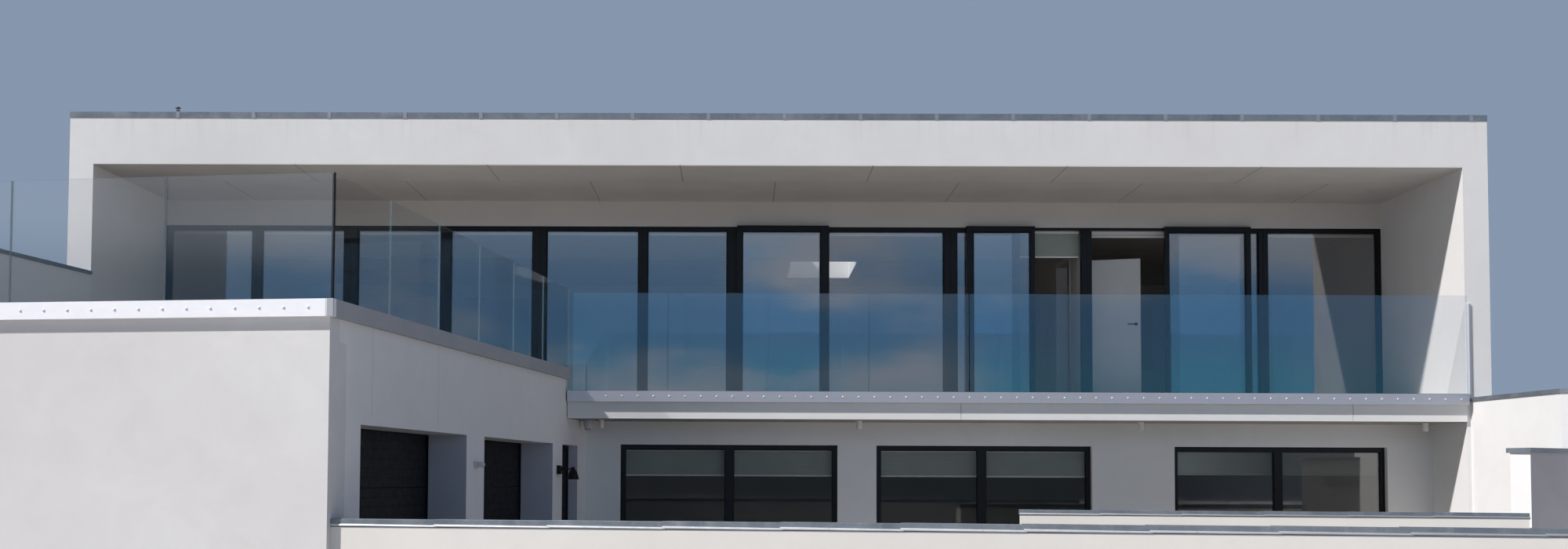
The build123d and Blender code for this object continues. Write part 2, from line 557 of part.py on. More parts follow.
def retaining_outline(inner, outer, end):
    """Outline of the retaining wall with its faces moved out by inner, outer and end."""
    a0, a1 = offset_right(R0, R1, -inner)
    b0, b1 = offset_right(R1, R2, -inner)
    c0, c1 = offset_right(R0, R1, RT + outer)
    d0, d1 = offset_right(R1, R2, RT + outer)
    u = ((R2[0] - R1[0]) / 1500 * end, (R2[1] - R1[1]) / 1500 * end)
    start = ((-100, 0), (100, 0))
    return [meet(a0, a1, *start), meet(a0, a1, b0, b1), (b1[0] + u[0], b1[1] + u[1]), (d1[0] + u[0], d1[1] + u[1]),
            meet(c0, c1, d0, d1), meet(c0, c1, *start)]


with BuildPart() as retaining_wall:
    prism(retaining_outline(0, 0, 0), 0, 2790)
keep("retaining_wall", retaining_wall)

# stub wall that runs off the retaining wall's corner towards the courtyard
A, B = (8775, -2400), (8650, -2190)
P1 = meet(A, (A[0] + 0.87, A[1] + 0.49), R1, R2)
P2 = meet(B, (B[0] + 0.82, B[1] + 0.57), R0, R1)
Z_STUB = 2095
with BuildPart() as stub_wall:
    prism([A, P1, R1, P2, B], 0, Z_STUB)
keep("stub_wall", stub_wall)

# low walls: one in line with the wing's front, one nearer the house
CW_T = (T_FRONT - 70 - 300, T_FRONT - 70)
CW_END = -9900
IW_T = (600, 850)
IW_START = -5640
IW_END = [meet(wing(t, 0), wing(t, -1000), A, B) for t in IW_T]
with BuildPart() as courtyard_walls:
    wing_block(*CW_T, 0, CW_END, 0, Z_COURT)
    prism([wing(IW_T[0], IW_START), wing(IW_T[1], IW_START), IW_END[1], IW_END[0]], 0, Z_COURT)
keep("courtyard_walls", courtyard_walls)

C_OUT = 13
with BuildPart() as courtyard_copings:
    wing_block(CW_T[0] - C_OUT, CW_T[1] + C_OUT, 0, CW_END - C_OUT, Z_COURT, Z_COURT + COPING)
    e = [meet(wing(t, 0), wing(t, -1000), A, B) for t in (IW_T[0] - C_OUT, IW_T[1] + C_OUT)]
    prism([wing(IW_T[0] - C_OUT, IW_START + C_OUT), wing(IW_T[1] + C_OUT, IW_START + C_OUT), e[1], e[0]],
          Z_COURT, Z_COURT + COPING)
keep("courtyard_copings", courtyard_copings)

with BuildPart() as retaining_copings:
    prism(retaining_outline(C_OUT, C_OUT, C_OUT), 2790, 2840)
    grow = 30
    a2 = (A[0] - grow * 0.35, A[1] - grow * 1.0)
    b2 = (B[0] - grow * 1.1, B[1] - grow * 0.1)
    q1 = meet(a2, (a2[0] + 0.87, a2[1] + 0.49), R1, R2)
    q2 = meet((b2[0], b2[1] + grow), (b2[0] + 0.82, b2[1] + grow + 0.57), R0, R1)
    prism([a2, q1, R1, q2, (b2[0], b2[1] + grow)], Z_STUB, Z_STUB + 55)
keep("retaining_copings", retaining_copings)

# ================================================================ put the origin under the middle and write
boxes = [p.bounding_box() for p in parts.values()]
SHIFT_X = -(min(b.min.X for b in boxes) + max(b.max.X for b in boxes)) / 2
SHIFT_Y = -(min(b.min.Y for b in boxes) + max(b.max.Y for b in boxes)) / 2
os.makedirs("parts", exist_ok=True)
for name, part in parts.items():
    moved = part.moved(Location((SHIFT_X, SHIFT_Y, 0)))
    moved.label = name
    export_step(moved, f"parts/{name}.step")
hx, hy = wing(HINGE_T, HINGE_W)
print("shift", round(SHIFT_X, 3), round(SHIFT_Y, 3))
print("side door hinge at", round(hx + SHIFT_X, 3), round(hy + SHIFT_Y, 3))
print("nodes", len(parts))
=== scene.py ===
"""Looks of the detached house: finishes, small fittings, stage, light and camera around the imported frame."""
import json
import math
import random

import bmesh
import bpy
from mathutils import Matrix, Vector


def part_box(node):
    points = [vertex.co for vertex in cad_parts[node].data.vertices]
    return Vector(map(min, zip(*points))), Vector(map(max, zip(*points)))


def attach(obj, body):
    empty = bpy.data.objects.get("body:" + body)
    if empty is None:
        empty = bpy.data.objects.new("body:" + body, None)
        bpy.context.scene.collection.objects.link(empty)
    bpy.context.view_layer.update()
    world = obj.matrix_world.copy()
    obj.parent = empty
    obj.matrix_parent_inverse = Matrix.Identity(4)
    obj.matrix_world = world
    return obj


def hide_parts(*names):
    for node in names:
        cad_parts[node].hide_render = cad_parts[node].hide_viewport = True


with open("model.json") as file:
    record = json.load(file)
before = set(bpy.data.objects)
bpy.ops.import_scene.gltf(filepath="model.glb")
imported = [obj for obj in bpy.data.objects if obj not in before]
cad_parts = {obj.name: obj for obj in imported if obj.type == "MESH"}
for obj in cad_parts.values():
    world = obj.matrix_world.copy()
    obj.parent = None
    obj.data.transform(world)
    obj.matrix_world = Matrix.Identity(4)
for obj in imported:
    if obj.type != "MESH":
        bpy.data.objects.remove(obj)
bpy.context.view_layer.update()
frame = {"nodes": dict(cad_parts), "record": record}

rnd = random.Random(41)

# ------------------------------------------------------------------ places
# "house" coordinates: x to the right and y to the back from the front plane, z up, metres.
# "wing" coordinates: t along the garage's side wall towards the front, w across it to the left, z up.
lo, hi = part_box("right_side_wall")
OX, OY = lo[0] - 9.175, lo[1]
TURN = math.radians(7.88)
SN, CS = math.sin(TURN), math.cos(TURN)
WX = -2.233
YB = 10.25          # back face of the main block


def house(x, y, z):
    return (x + OX, y + OY, z)


def wing(t, w, z):
    return (WX - SN * t - CS * w + OX, -CS * t + SN * w + OY, z)


def to_wing(x, y):
    """t and w of a house point."""
    dx, dy = x - WX, y
    return (-SN * dx - CS * dy, -CS * dx + SN * dy)


# ------------------------------------------------------------------ mesh building
class Build:
    """Collects closed shapes and makes them one mesh."""

    def __init__(self, place=house):
        self.place, self.v, self.f, self.m, self.s = place, [], [], [], []

    def add(self, points, faces, mat=0, smooth=False):
        n = len(self.v)
        self.v += [self.place(*p) for p in points]
        self.f += [tuple(n + i for i in f) for f in faces]
        self.m += [mat] * len(faces)
        self.s += [smooth] * len(faces)

    def box(self, a0, a1, b0, b1, c0, c1, ch=0.0, mat=0):
        lo3, hi3 = (min(a0, a1), min(b0, b1), min(c0, c1)), (max(a0, a1), max(b0, b1), max(c0, c1))
        ch = min(ch, *(0.45 * (h - l) for l, h in zip(lo3, hi3)))
        pts, index = [], {}
        for i in range(8):
            side = [(i >> k) & 1 for k in range(3)]
            for axis in range(3) if ch > 0 else (0,):
                p = []
                for k in range(3):
                    edge = hi3[k] if side[k] else lo3[k]
                    inset = 0 if k == axis or ch <= 0 else (-ch if side[k] else ch)
                    p.append(edge + inset)
                index[(i, axis)] = len(pts)
                pts.append(p)
        at = (lambda i, axis: index[(i, axis)]) if ch > 0 else (lambda i, axis: index[(i, 0)])
        faces = []
        for axis in range(3):
            u, v = [k for k in range(3) if k != axis]
            for s in (0, 1):
                ring = [(0, 0), (1, 0), (1, 1), (0, 1)]
                faces.append([at((s << axis) | (p << u) | (q << v), axis) for p, q in ring])
        if ch > 0:
            for c in range(3):
                a, b = [k for k in range(3) if k != c]
                for sa in (0, 1):
                    for sb in (0, 1):
                        i0 = (sa << a) | (sb << b)
                        i1 = i0 | (1 << c)
                        faces.append([at(i0, a), at(i0, b), at(i1, b), at(i1, a)])
            for i in range(8):
                faces.append([at(i, 0), at(i, 1), at(i, 2)])
        self.add(pts, faces, mat)

    def prism(self, outline, axis, c0, c1, mat=0, skew=None):
        """Outline in the two other axes (in x, y, z order), run along axis from c0 to c1."""
        u, v = [k for k in range(3) if k != axis]
        pts = []
        for k, c in enumerate((c0, c1)):
            for p in outline:
                q = [0, 0, 0]
                q[u], q[v], q[axis] = p[0], p[1], c
                if skew:
                    q = skew(q, k)
                pts.append(q)
        n = len(outline)
        faces = [list(range(n))[::-1], list(range(n, 2 * n))]
        faces += [[i, (i + 1) % n, n + (i + 1) % n, n + i] for i in range(n)]
        self.add(pts, faces, mat)

    def lathe(self, centre, axis, profile, seg=24, mat=0, smooth=True):
        """Closed turned shape: profile is (radius, height) along axis from centre; its ends have radius 0."""
        u, v = [k for k in range(3) if k != axis]
        pts, rows = [], []
        for r, h in profile:
            row = []
            for j in range(seg if r > 1e-9 else 1):
                a = 2 * math.pi * j / seg
                q = list(centre)
                q[axis] += h
                q[u] += r * math.cos(a)
                q[v] += r * math.sin(a)
                row.append(len(pts))
                pts.append(q)
            rows.append(row)
        faces = []
        for p, q in zip(rows, rows[1:]):
            for j in range(seg):
                k = (j + 1) % seg
                if len(p) == 1 and len(q) > 1:
                    faces.append([p[0], q[k], q[j]])
                elif len(q) == 1 and len(p) > 1:
                    faces.append([p[j], p[k], q[0]])
                elif len(p) > 1:
                    faces.append([p[j], p[k], q[k], q[j]])
        self.add(pts, faces, mat, smooth)

    def tube(self, path, radius, seg=12, mat=0):
        """Round bar along straight points, closed at both ends."""
        pts, n = [], len(path)
        vec = [Vector(p) for p in path]
        for i, p in enumerate(vec):
            d = (vec[min(i + 1, n - 1)] - vec[max(i - 1, 0)]).normalized()
            side = d.cross(Vector((0, 0, 1)))
            side = side.normalized() if side.length > 1e-6 else Vector((1, 0, 0))
            up = side.cross(d).normalized()
            for j in range(seg):
                a = 2 * math.pi * j / seg
                pts.append(p + side * math.cos(a) * radius + up * math.sin(a) * radius)
        faces = [list(range(seg))[::-1], list(range((n - 1) * seg, n * seg))]
        for i in range(n - 1):
            for j in range(seg):
                k = (j + 1) % seg
                faces.append([i * seg + j, i * seg + k, (i + 1) * seg + k, (i + 1) * seg + j])
        self.add([tuple(p) for p in pts], faces, mat, True)

    def make(self, name, mats, slot, body="house", replaces=()):
        mesh = bpy.data.meshes.new(name)
        bm = bmesh.new()
        verts = [bm.verts.new(p) for p in self.v]
        for f, m, s in zip(self.f, self.m, self.s):
            face = bm.faces.new([verts[i] for i in f])
            face.material_index, face.smooth = m, s
        bmesh.ops.recalc_face_normals(bm, faces=bm.faces)
        bm.to_mesh(mesh)
        bm.free()
        for m in mats if isinstance(mats, (list, tuple)) else [mats]:
            mesh.materials.append(m)
        o = bpy.data.objects.new(name, mesh)
        bpy.context.scene.collection.objects.link(o)
        if any(self.s):
            mod = o.modifiers.new("edges", "EDGE_SPLIT")
            mod.split_angle = math.radians(40)
        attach(o, body)
        if replaces:
            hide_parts(*replaces)
        return o


# ------------------------------------------------------------------ materials
def srgb(r, g, b):
    out = []
    for c in (r, g, b):
        c /= 255
        out.append(c / 12.92 if c <= 0.04045 else ((c + 0.055) / 1.055) ** 2.4)
    return (*out, 1.0)


class Mat:
    """A principled material with helpers for procedural detail in the object's own space."""

    def __init__(self, name, base, rough=0.5, metal=0.0, ior=1.5, alpha=1.0, coat=0.0):
        self.m = bpy.data.materials.new(name)
        self.m.use_nodes = True
        self.nt = self.m.node_tree
        self.b = self.nt.nodes["Principled BSDF"]
        self.b.inputs["Base Color"].default_value = base
        self.b.inputs["Roughness"].default_value = rough
        self.b.inputs["Metallic"].default_value = metal
        self.b.inputs["IOR"].default_value = ior
        self.b.inputs["Alpha"].default_value = alpha
        self.b.inputs["Coat Weight"].default_value = coat
        self.tc = self.nt.nodes.new("ShaderNodeTexCoord").outputs["Object"]
        self.last_bump = None

    def node(self, kind, **props):
        n = self.nt.nodes.new(kind)
        for k, v in props.items():
            setattr(n, k, v)
        return n

    def put(self, socket, value):
        if hasattr(value, "links") or isinstance(value, bpy.types.NodeSocket):
            self.nt.links.new(value, socket)
        else:
            socket.default_value = value

    def mapped(self, scale=(1, 1, 1), rot=(0, 0, 0), loc=(0, 0, 0)):
        n = self.node("ShaderNodeMapping")
        self.put(n.inputs["Vector"], self.tc)
        n.inputs["Scale"].default_value = scale
        n.inputs["Rotation"].default_value = rot
        n.inputs["Location"].default_value = loc
        return n.outputs["Vector"]

    def noise(self, scale, detail=4.0, rough=0.55, vec=None, distortion=0.0):
        n = self.node("ShaderNodeTexNoise")
        self.put(n.inputs["Vector"], vec or self.tc)
        n.inputs["Scale"].default_value = scale
        n.inputs["Detail"].default_value = detail
        n.inputs["Roughness"].default_value = rough
        n.inputs["Distortion"].default_value = distortion
        return n.outputs["Fac"]

    def remap(self, value, a, b, c=0.0, d=1.0, smooth=False):
        n = self.node("ShaderNodeMapRange")
        if smooth:
            n.interpolation_type = "SMOOTHSTEP"
        self.put(n.inputs["Value"], value)
        for k, x in zip(("From Min", "From Max", "To Min", "To Max"), (a, b, c, d)):
            n.inputs[k].default_value = x
        return n.outputs["Result"]

    def math(self, op, a, b=None):
        n = self.node("ShaderNodeMath", operation=op)
        self.put(n.inputs[0], a)
        if b is not None:
            self.put(n.inputs[1], b)
        return n.outputs[0]

    def mix(self, fac, a, b, blend="MIX"):
        n = self.node("ShaderNodeMix", data_type="RGBA", blend_type=blend)
        self.put(n.inputs[0], fac)
        self.put(n.inputs[6], a)
        self.put(n.inputs[7], b)
        return n.outputs[2]

    def axis(self, k):
        n = self.node("ShaderNodeSeparateXYZ")
        self.put(n.inputs[0], self.tc)
        return n.outputs[k]

    def bump(self, height, strength=0.3, distance=0.002):
        n = self.node("ShaderNodeBump")
        n.inputs["Strength"].default_value = strength
        n.inputs["Distance"].default_value = distance
        self.put(n.inputs["Height"], height)
        if self.last_bump:
            self.put(n.inputs["Normal"], self.last_bump)
        self.last_bump = n.outputs["Normal"]
        self.put(self.b.inputs["Normal"], self.last_bump)

    def colour(self, value):
        self.put(self.b.inputs["Base Color"], value)

    def rough(self, value):
        self.put(self.b.inputs["Roughness"], value)


def render_wall(name, base, deep, dirt, ground=True, shade_tint=None, facing=(-SN, -CS, 0.0)):
    """Fine float-finished render: broad mottling, trowel marks, rain marks under the cappings, dust at the foot, and
    painted shade on faces turned one way where a shade tint is given.
    """
    m = Mat(name, base, 0.92, ior=1.45)
    broad = m.remap(m.noise(0.45, 3, 0.5), 0.32, 0.68)
    patch = m.remap(m.noise(2.3, 5, 0.62, distortion=0.6), 0.35, 0.7)
    c = m.mix(m.math("MULTIPLY", broad, 0.55), base, deep)
    c = m.mix(m.math("MULTIPLY", patch, 0.4), c, deep)
    streak = m.remap(m.noise(1.0, 4, 0.6, m.mapped((9, 9, 0.35))), 0.52, 0.78)
    z = m.axis(2)
    top = m.remap(z, 5.85, 6.36, 0.0, 1.0, True)
    c = m.mix(m.math("MULTIPLY", m.math("MULTIPLY", streak, top), 0.2), c, dirt)
    if ground:
        foot = m.remap(z, 0.42, 0.0, 0.0, 1.0, True)
        splash = m.remap(m.noise(5.5, 5, 0.65), 0.3, 0.75)
        c = m.mix(m.math("MULTIPLY", m.math("MULTIPLY", foot, splash), 0.6), c, dirt)
    if shade_tint:       # painted shade: faces turned this way are darkened by the tint, for the shade they stand in
        dot = m.node("ShaderNodeVectorMath", operation="DOT_PRODUCT")
        m.put(dot.inputs[0], m.node("ShaderNodeNewGeometry").outputs["Normal"])
        dot.inputs[1].default_value = facing
        f = m.remap(m.math("ABSOLUTE", dot.outputs["Value"]), 0.55, 0.85, 0, 1, True)
        c = m.mix(f, c, shade_tint, "MULTIPLY")
    m.colour(c)
    m.bump(m.noise(7.0, 4, 0.6, distortion=0.8), 0.35, 0.004)
    m.bump(m.noise(240, 3, 0.7), 0.5, 0.0016)
    m.rough(m.remap(patch, 0, 1, 0.86, 0.96))
    return m.m


WHITE = srgb(227, 227, 226)
WALL = render_wall("white_render", WHITE, srgb(214, 213, 211), srgb(170, 167, 161))
WALL_WING = render_wall("weathered_render", srgb(216, 215, 214), srgb(200, 198, 196), srgb(160, 157, 150))
WALL_YARD = render_wall("bright_render", srgb(223, 220, 214), srgb(211, 208, 202), srgb(174, 168, 160))
LINTEL = render_wall("shaded_render", srgb(200, 198, 194), srgb(190, 188, 184), srgb(160, 157, 150))


def plain_paint(name, base, second, rough=0.6, grain=60, strength=0.15):
    m = Mat(name, base, rough)
    f = m.remap(m.noise(1.6, 4, 0.55), 0.3, 0.7)
    m.colour(m.mix(f, base, second))
    m.rough(m.remap(m.noise(9, 3), 0.3, 0.7, rough - 0.06, rough + 0.06))
    m.bump(m.noise(grain, 3, 0.6), strength, 0.001)
    return m.m


PLASTER = plain_paint("white_plaster", srgb(222, 220, 216), srgb(212, 210, 206), 0.85, 140, 0.3)
# painted shade: the room ceiling's plaster is given in grey, for the shade deep inside the room
CEILING = plain_paint("ceiling_plaster_painted_shade", srgb(138, 139, 142), srgb(130, 131, 134), 0.85, 140, 0.3)
DOORPAINT = plain_paint("white_lacquer", srgb(228, 227, 224), srgb(220, 219, 216), 0.42, 30, 0.08)
LACQUER = plain_paint("white_lining", srgb(240, 240, 238), srgb(234, 234, 232), 0.6, 60, 0.08)
PLASTIC = plain_paint("pale_plastic", srgb(206, 207, 210), srgb(196, 197, 201), 0.5, 80, 0.1)
# painted shade: the garage reveals and the stub wall's front face are darkened, for the shade they stand in
WALL_PIER = render_wall("pier_render", srgb(229, 228, 229), srgb(216, 214, 214), srgb(170, 167, 161),
                        shade_tint=(0.66, 0.68, 0.76, 1))
WALL_STUB = render_wall("stub_render", WHITE, srgb(214, 213, 211), srgb(170, 167, 161),
                        shade_tint=(0.64, 0.62, 0.65, 1), facing=(0.0, -1.0, 0.0))
LENS = plain_paint("grey_lens", srgb(70, 72, 78), srgb(54, 56, 60), 0.25, 60, 0.05)
SOFFIT = plain_paint("soffit_paint", srgb(207, 204, 201), srgb(198, 195, 192), 0.8, 120, 0.2)
FASCIA = plain_paint("pale_grey_coat", srgb(168, 170, 174), srgb(158, 160, 165), 0.5, 160, 0.15)


def dark_coat(name, base, second, rough=0.36):
    """Powder coat: fine orange peel, faint dust."""
    m = Mat(name, base, rough, ior=1.5)
    m.b.inputs["Specular IOR Level"].default_value = 0.22
    dust = m.remap(m.noise(3.2, 5, 0.6), 0.45, 0.8)
    m.colour(m.mix(m.math("MULTIPLY", dust, 0.5), base, second))
    m.rough(m.remap(m.noise(14, 4, 0.6), 0.3, 0.7, rough - 0.07, rough + 0.1))
    m.bump(m.noise(420, 2, 0.5), 0.25, 0.0006)
    return m.m


DARK = dark_coat("black_powder_coat", srgb(17, 18, 22), srgb(28, 29, 33))
DARKER = dark_coat("garage_door_coat", srgb(13, 16, 23), srgb(15, 18, 25), 0.52)
DOORCOAT = dark_coat("side_door_coat", srgb(9, 10, 13), srgb(13, 14, 18), 0.55)
RUBBER = dark_coat("black_rubber", srgb(10, 10, 11), srgb(18, 18, 19), 0.7)
VENT = dark_coat("grey_vent_coat", srgb(92, 98, 110), srgb(78, 84, 95), 0.6)
# painted shadow: dark and faint strips for the shadow in the soffit's open joints
JOINT_SHADOW = dark_coat("painted_joint_shadow", srgb(112, 109, 104), srgb(98, 95, 91), 0.8)
FAINT_JOINT_SHADOW = dark_coat("painted_faint_joint_shadow", srgb(178, 175, 170), srgb(166, 163, 158), 0.8)


def metal_sheet(name, base, second, rough, metal, grain_scale, stain=None, highlight_fade=None):
    m = Mat(name, base, rough, metal)
    spangle = m.node("ShaderNodeTexVoronoi")
    m.put(spangle.inputs["Vector"], m.tc)
    spangle.inputs["Scale"].default_value = 34
    s = m.node("ShaderNodeSeparateColor")
    m.put(s.inputs[0], spangle.outputs["Color"])
    blotch = m.remap(m.noise(2.6, 6, 0.66, distortion=0.6), 0.36, 0.66)
    c = m.mix(blotch, base, second)
    fine = m.remap(m.noise(22, 5, 0.7, m.mapped((1, 1, 2.5))), 0.35, 0.68)
    c = m.mix(m.math("MULTIPLY", fine, 0.5), c, second)
    c = m.mix(m.math("MULTIPLY", s.outputs[0], 0.18), c, second)
    if stain:
        run = m.remap(m.noise(1.0, 4, 0.6, m.mapped((6, 6, 0.6))), 0.55, 0.8)
        c = m.mix(m.math("MULTIPLY", run, 0.45), c, stain)
    if highlight_fade:       # painted highlight: the colour darkens along x, so the glint fades further along the run
        c = m.mix(m.remap(m.axis(0), highlight_fade[0], highlight_fade[1], 0, 1, True), c, highlight_fade[2])
    m.colour(c)
    m.rough(m.remap(m.noise(grain_scale, 4, 0.6), 0.3, 0.7, rough - 0.08, rough + 0.12))
    m.bump(m.noise(3.5, 3, 0.5), 0.3, 0.003)
    m.bump(m.noise(90, 3, 0.6), 0.12, 0.0005)
    return m.m


ZINC = metal_sheet("weathered_zinc", srgb(144, 151, 158), srgb(112, 120, 128), 0.42, 0.5, 14, srgb(172, 175, 178))
# painted highlight: the lip is a much lighter copy of the zinc, for the sun on its fold, fading along x
LIP = metal_sheet("folded_edge_painted_highlight", srgb(222, 225, 228), srgb(200, 204, 209), 0.34, 0.35, 18, None, (0.5, 6.5, srgb(150, 156, 163)))
ZINC_LIGHT = metal_sheet("zinc_cover_strip", srgb(164, 168, 174), srgb(148, 152, 159), 0.42, 0.5, 18)


def brushed(name, base, second, direction, metal, rough):
    m = Mat(name, base, rough, metal)
    fine = m.noise(1.0, 3, 0.7, m.mapped(direction))
    m.colour(m.mix(m.remap(fine, 0.3, 0.7), base, second))
    m.rough(m.remap(m.noise(11, 4, 0.6), 0.3, 0.7, rough - 0.06, rough + 0.08))
    m.bump(fine, 0.1, 0.0004)
    return m.m


# ALU and ALU_GREY are lit and shaded copies of one channel aluminium: the near-white terrace channel is painted light,
# the darker balcony channel painted shade
ALU = brushed("anodised_aluminium", srgb(250, 250, 252), srgb(243, 244, 248), (3, 3, 320), 0.16, 0.36)
ALU_GREY = brushed("channel_aluminium_painted_shade", srgb(206, 202, 206), srgb(194, 191, 196), (3, 3, 320), 0.85, 0.42)
STEEL = brushed("bolt_steel", srgb(176, 178, 182), srgb(150, 152, 158), (60, 60, 300), 0.85, 0.34)
# painted highlight: a pale copy of the steel for the channel bolts, for the glints on their heads
BOLT_STEEL = brushed("bolt_steel_painted_highlight", srgb(236, 237, 240), srgb(220, 222, 226), (60, 60, 300), 0.3, 0.3)


def paving(name):
    m = Mat(name, srgb(172, 168, 162), 0.8)
    n = m.node("ShaderNodeTexBrick", offset=0.0)
    m.put(n.inputs["Vector"], m.tc)
    n.inputs["Scale"].default_value = 1.0
    n.inputs["Brick Width"].default_value = 0.6
    n.inputs["Row Height"].default_value = 0.6
    n.inputs["Mortar Size"].default_value = 0.004
    n.inputs["Mortar Smooth"].default_value = 0.1
    n.inputs["Color1"].default_value = srgb(178, 174, 168)
    n.inputs["Color2"].default_value = srgb(166, 162, 156)
    n.inputs["Mortar"].default_value = srgb(96, 93, 90)
    c = m.mix(m.remap(m.noise(3.0, 5, 0.65), 0.35, 0.75, 0.0, 0.5), n.outputs["Color"], srgb(140, 136, 128))
    m.colour(c)
    m.bump(m.math("MULTIPLY", n.outputs["Fac"], -1.0), 0.8, 0.004)
    m.bump(m.noise(150, 4, 0.65), 0.3, 0.001)
    return m.m


PAVING = paving("concrete_paving")


def concrete(name):
    m = Mat(name, srgb(150, 148, 144), 0.85)
    c = m.mix(m.remap(m.noise(0.9, 5, 0.6), 0.3, 0.7), srgb(156, 154, 150), srgb(136, 134, 130))
    c = m.mix(m.remap(m.noise(30, 4, 0.7), 0.55, 0.8, 0, 0.35), c, srgb(112, 110, 106))
    m.colour(c)
    m.bump(m.noise(60, 5, 0.7), 0.35, 0.002)
    return m.m


CONCRETE = concrete("cast_concrete")


def membrane(name):
    m = Mat(name, srgb(92, 94, 97), 0.75)
    n = m.node("ShaderNodeTexBrick", offset=0.37)
    m.put(n.inputs["Vector"], m.mapped((1, 1, 1), (0, 0, math.radians(90))))
    n.inputs["Scale"].default_value = 1.0
    n.inputs["Brick Width"].default_value = 7.5
    n.inputs["Row Height"].default_value = 1.06
    n.inputs["Mortar Size"].default_value = 0.012
    n.inputs["Mortar Smooth"].default_value = 0.4
    n.inputs["Color1"].default_value = srgb(98, 100, 103)
    n.inputs["Color2"].default_value = srgb(88, 90, 94)
    n.inputs["Mortar"].default_value = srgb(70, 72, 76)
    c = m.mix(m.remap(m.noise(0.8, 5, 0.65, distortion=0.7), 0.45, 0.75, 0, 0.5), n.outputs["Color"], srgb(122, 120, 114))
    m.colour(c)
    m.bump(m.math("MULTIPLY", n.outputs["Fac"], -1.0), 0.6, 0.004)
    m.bump(m.noise(2.2, 4, 0.6), 0.4, 0.01)
    m.bump(m.noise(220, 3, 0.6), 0.3, 0.0012)
    return m.m


MEMBRANE = membrane("roof_membrane")


def boards(name):
    m = Mat(name, srgb(150, 118, 84), 0.45)
    n = m.node("ShaderNodeTexBrick", offset=0.43, offset_frequency=2)
    m.put(n.inputs["Vector"], m.tc)
    n.inputs["Scale"].default_value = 1.0
    n.inputs["Brick Width"].default_value = 1.9
    n.inputs["Row Height"].default_value = 0.14
    n.inputs["Mortar Size"].default_value = 0.0016
    n.inputs["Color1"].default_value = srgb(162, 128, 92)
    n.inputs["Color2"].default_value = srgb(138, 106, 74)
    n.inputs["Mortar"].default_value = srgb(60, 44, 30)
    grain = m.noise(1.0, 6, 0.6, m.mapped((2.2, 46, 46)), 0.4)
    m.colour(m.mix(m.remap(grain, 0.35, 0.7, 0, 0.55), n.outputs["Color"], srgb(112, 82, 54)))
    m.bump(grain, 0.15, 0.0006)
    m.bump(m.math("MULTIPLY", n.outputs["Fac"], -1.0), 0.5, 0.001)
    return m.m


BOARDS = boards("oiled_oak_boards")


def slats(name, base, second):
    m = Mat(name, base, 0.45)
    m.colour(m.mix(m.remap(m.noise(1.4, 3), 0.3, 0.7), base, second))
    m.bump(m.noise(200, 2), 0.1, 0.0004)
    return m.m


SLATS = slats("pale_green_slats", srgb(168, 178, 170), srgb(154, 164, 156))
# painted light: a lighter copy of the slats, for the extra light on the third window's blinds
SLATS_PAINTED_LIGHT = slats("slats_painted_light", srgb(226, 236, 226), srgb(214, 224, 214))
PALE_SLATS = slats("pale_grey_slats", srgb(206, 205, 202), srgb(194, 193, 190))


def glass(name, top, low, z0, z1, alpha, ior=1.9, rough=0.015, coated=None):
    """Coated glass: seen through, with painted reflection: the colour deepens down the sheet, and lighter blotches of
    the top colour are painted cloud reflection.
    """
    m = Mat(name, low, rough, 0.0, ior, alpha)
    # painted reflection: the sky's reflection, changing down the sheet
    f = m.remap(m.axis(2), z0, z1, 0, 1, True)
    cloud_reflection_blotch = m.remap(m.noise(0.8, 4, 0.55, m.mapped((1, 1, 0.5))), 0.3, 0.75)
    c = m.mix(f, low, top)
    c = m.mix(m.math("MULTIPLY", cloud_reflection_blotch, 0.25), c, top)
    m.colour(c)
    m.rough(m.remap(m.noise(5, 4, 0.6, m.mapped((1, 1, 0.35))), 0.4, 0.8, rough, rough + 0.03))
    m.bump(m.noise(0.55, 2, 0.4), 0.12, 0.004)
    if coated:       # the panes further right mirror more
        f = m.remap(m.axis(0), coated[0], coated[1], 0, 1, True)
        m.put(m.b.inputs["Alpha"], m.math("ADD", m.math("MULTIPLY", f, coated[2] - alpha), alpha))
    return m.m


PANE = glass("upper_pane_glass", (0.030, 0.050, 0.075, 1), (0.018, 0.048, 0.075, 1), 3.0, 5.2, 0.235, 4.1)
PANE_LOW = glass("lower_pane_glass", (0.022, 0.030, 0.028, 1), (0.014, 0.021, 0.018, 1), 1.0, 2.2, 0.17, 3.0, 0.015, (4.6, 6.7, 0.47))
RAIL = glass("balustrade_glass", (0.02, 0.06, 0.11, 1), (0.02, 0.06, 0.12, 1), 2.9, 4.15, 0.105, 3.9)
RAIL_WING = glass("terrace_glass", (0.020, 0.042, 0.054, 1), (0.012, 0.038, 0.066, 1), 3.1, 4.2, 0.12, 4.0)
ROOFGLASS = glass("rooflight_glass", srgb(190, 200, 206), srgb(176, 188, 196), 6.2, 6.4, 0.035, 1.5)


def glass_edge(name, base, second, alpha):
    m = Mat(name, base, 0.25, 0.0, 1.6, alpha)
    m.colour(m.mix(m.remap(m.noise(2.0, 3), 0.3, 0.7), base, second))
    m.bump(m.noise(60, 2), 0.1, 0.0004)
    return m.m


EDGE = glass_edge("polished_glass_edge", srgb(120, 142, 150), srgb(100, 126, 136), 0.24)
EDGE_DIM = glass_edge("butted_glass_edge", srgb(92, 122, 138), srgb(78, 108, 124), 0.16)


CLEARSEAL = glass_edge("grey_silicone_joint", srgb(104, 114, 120), srgb(90, 100, 108), 0.5)

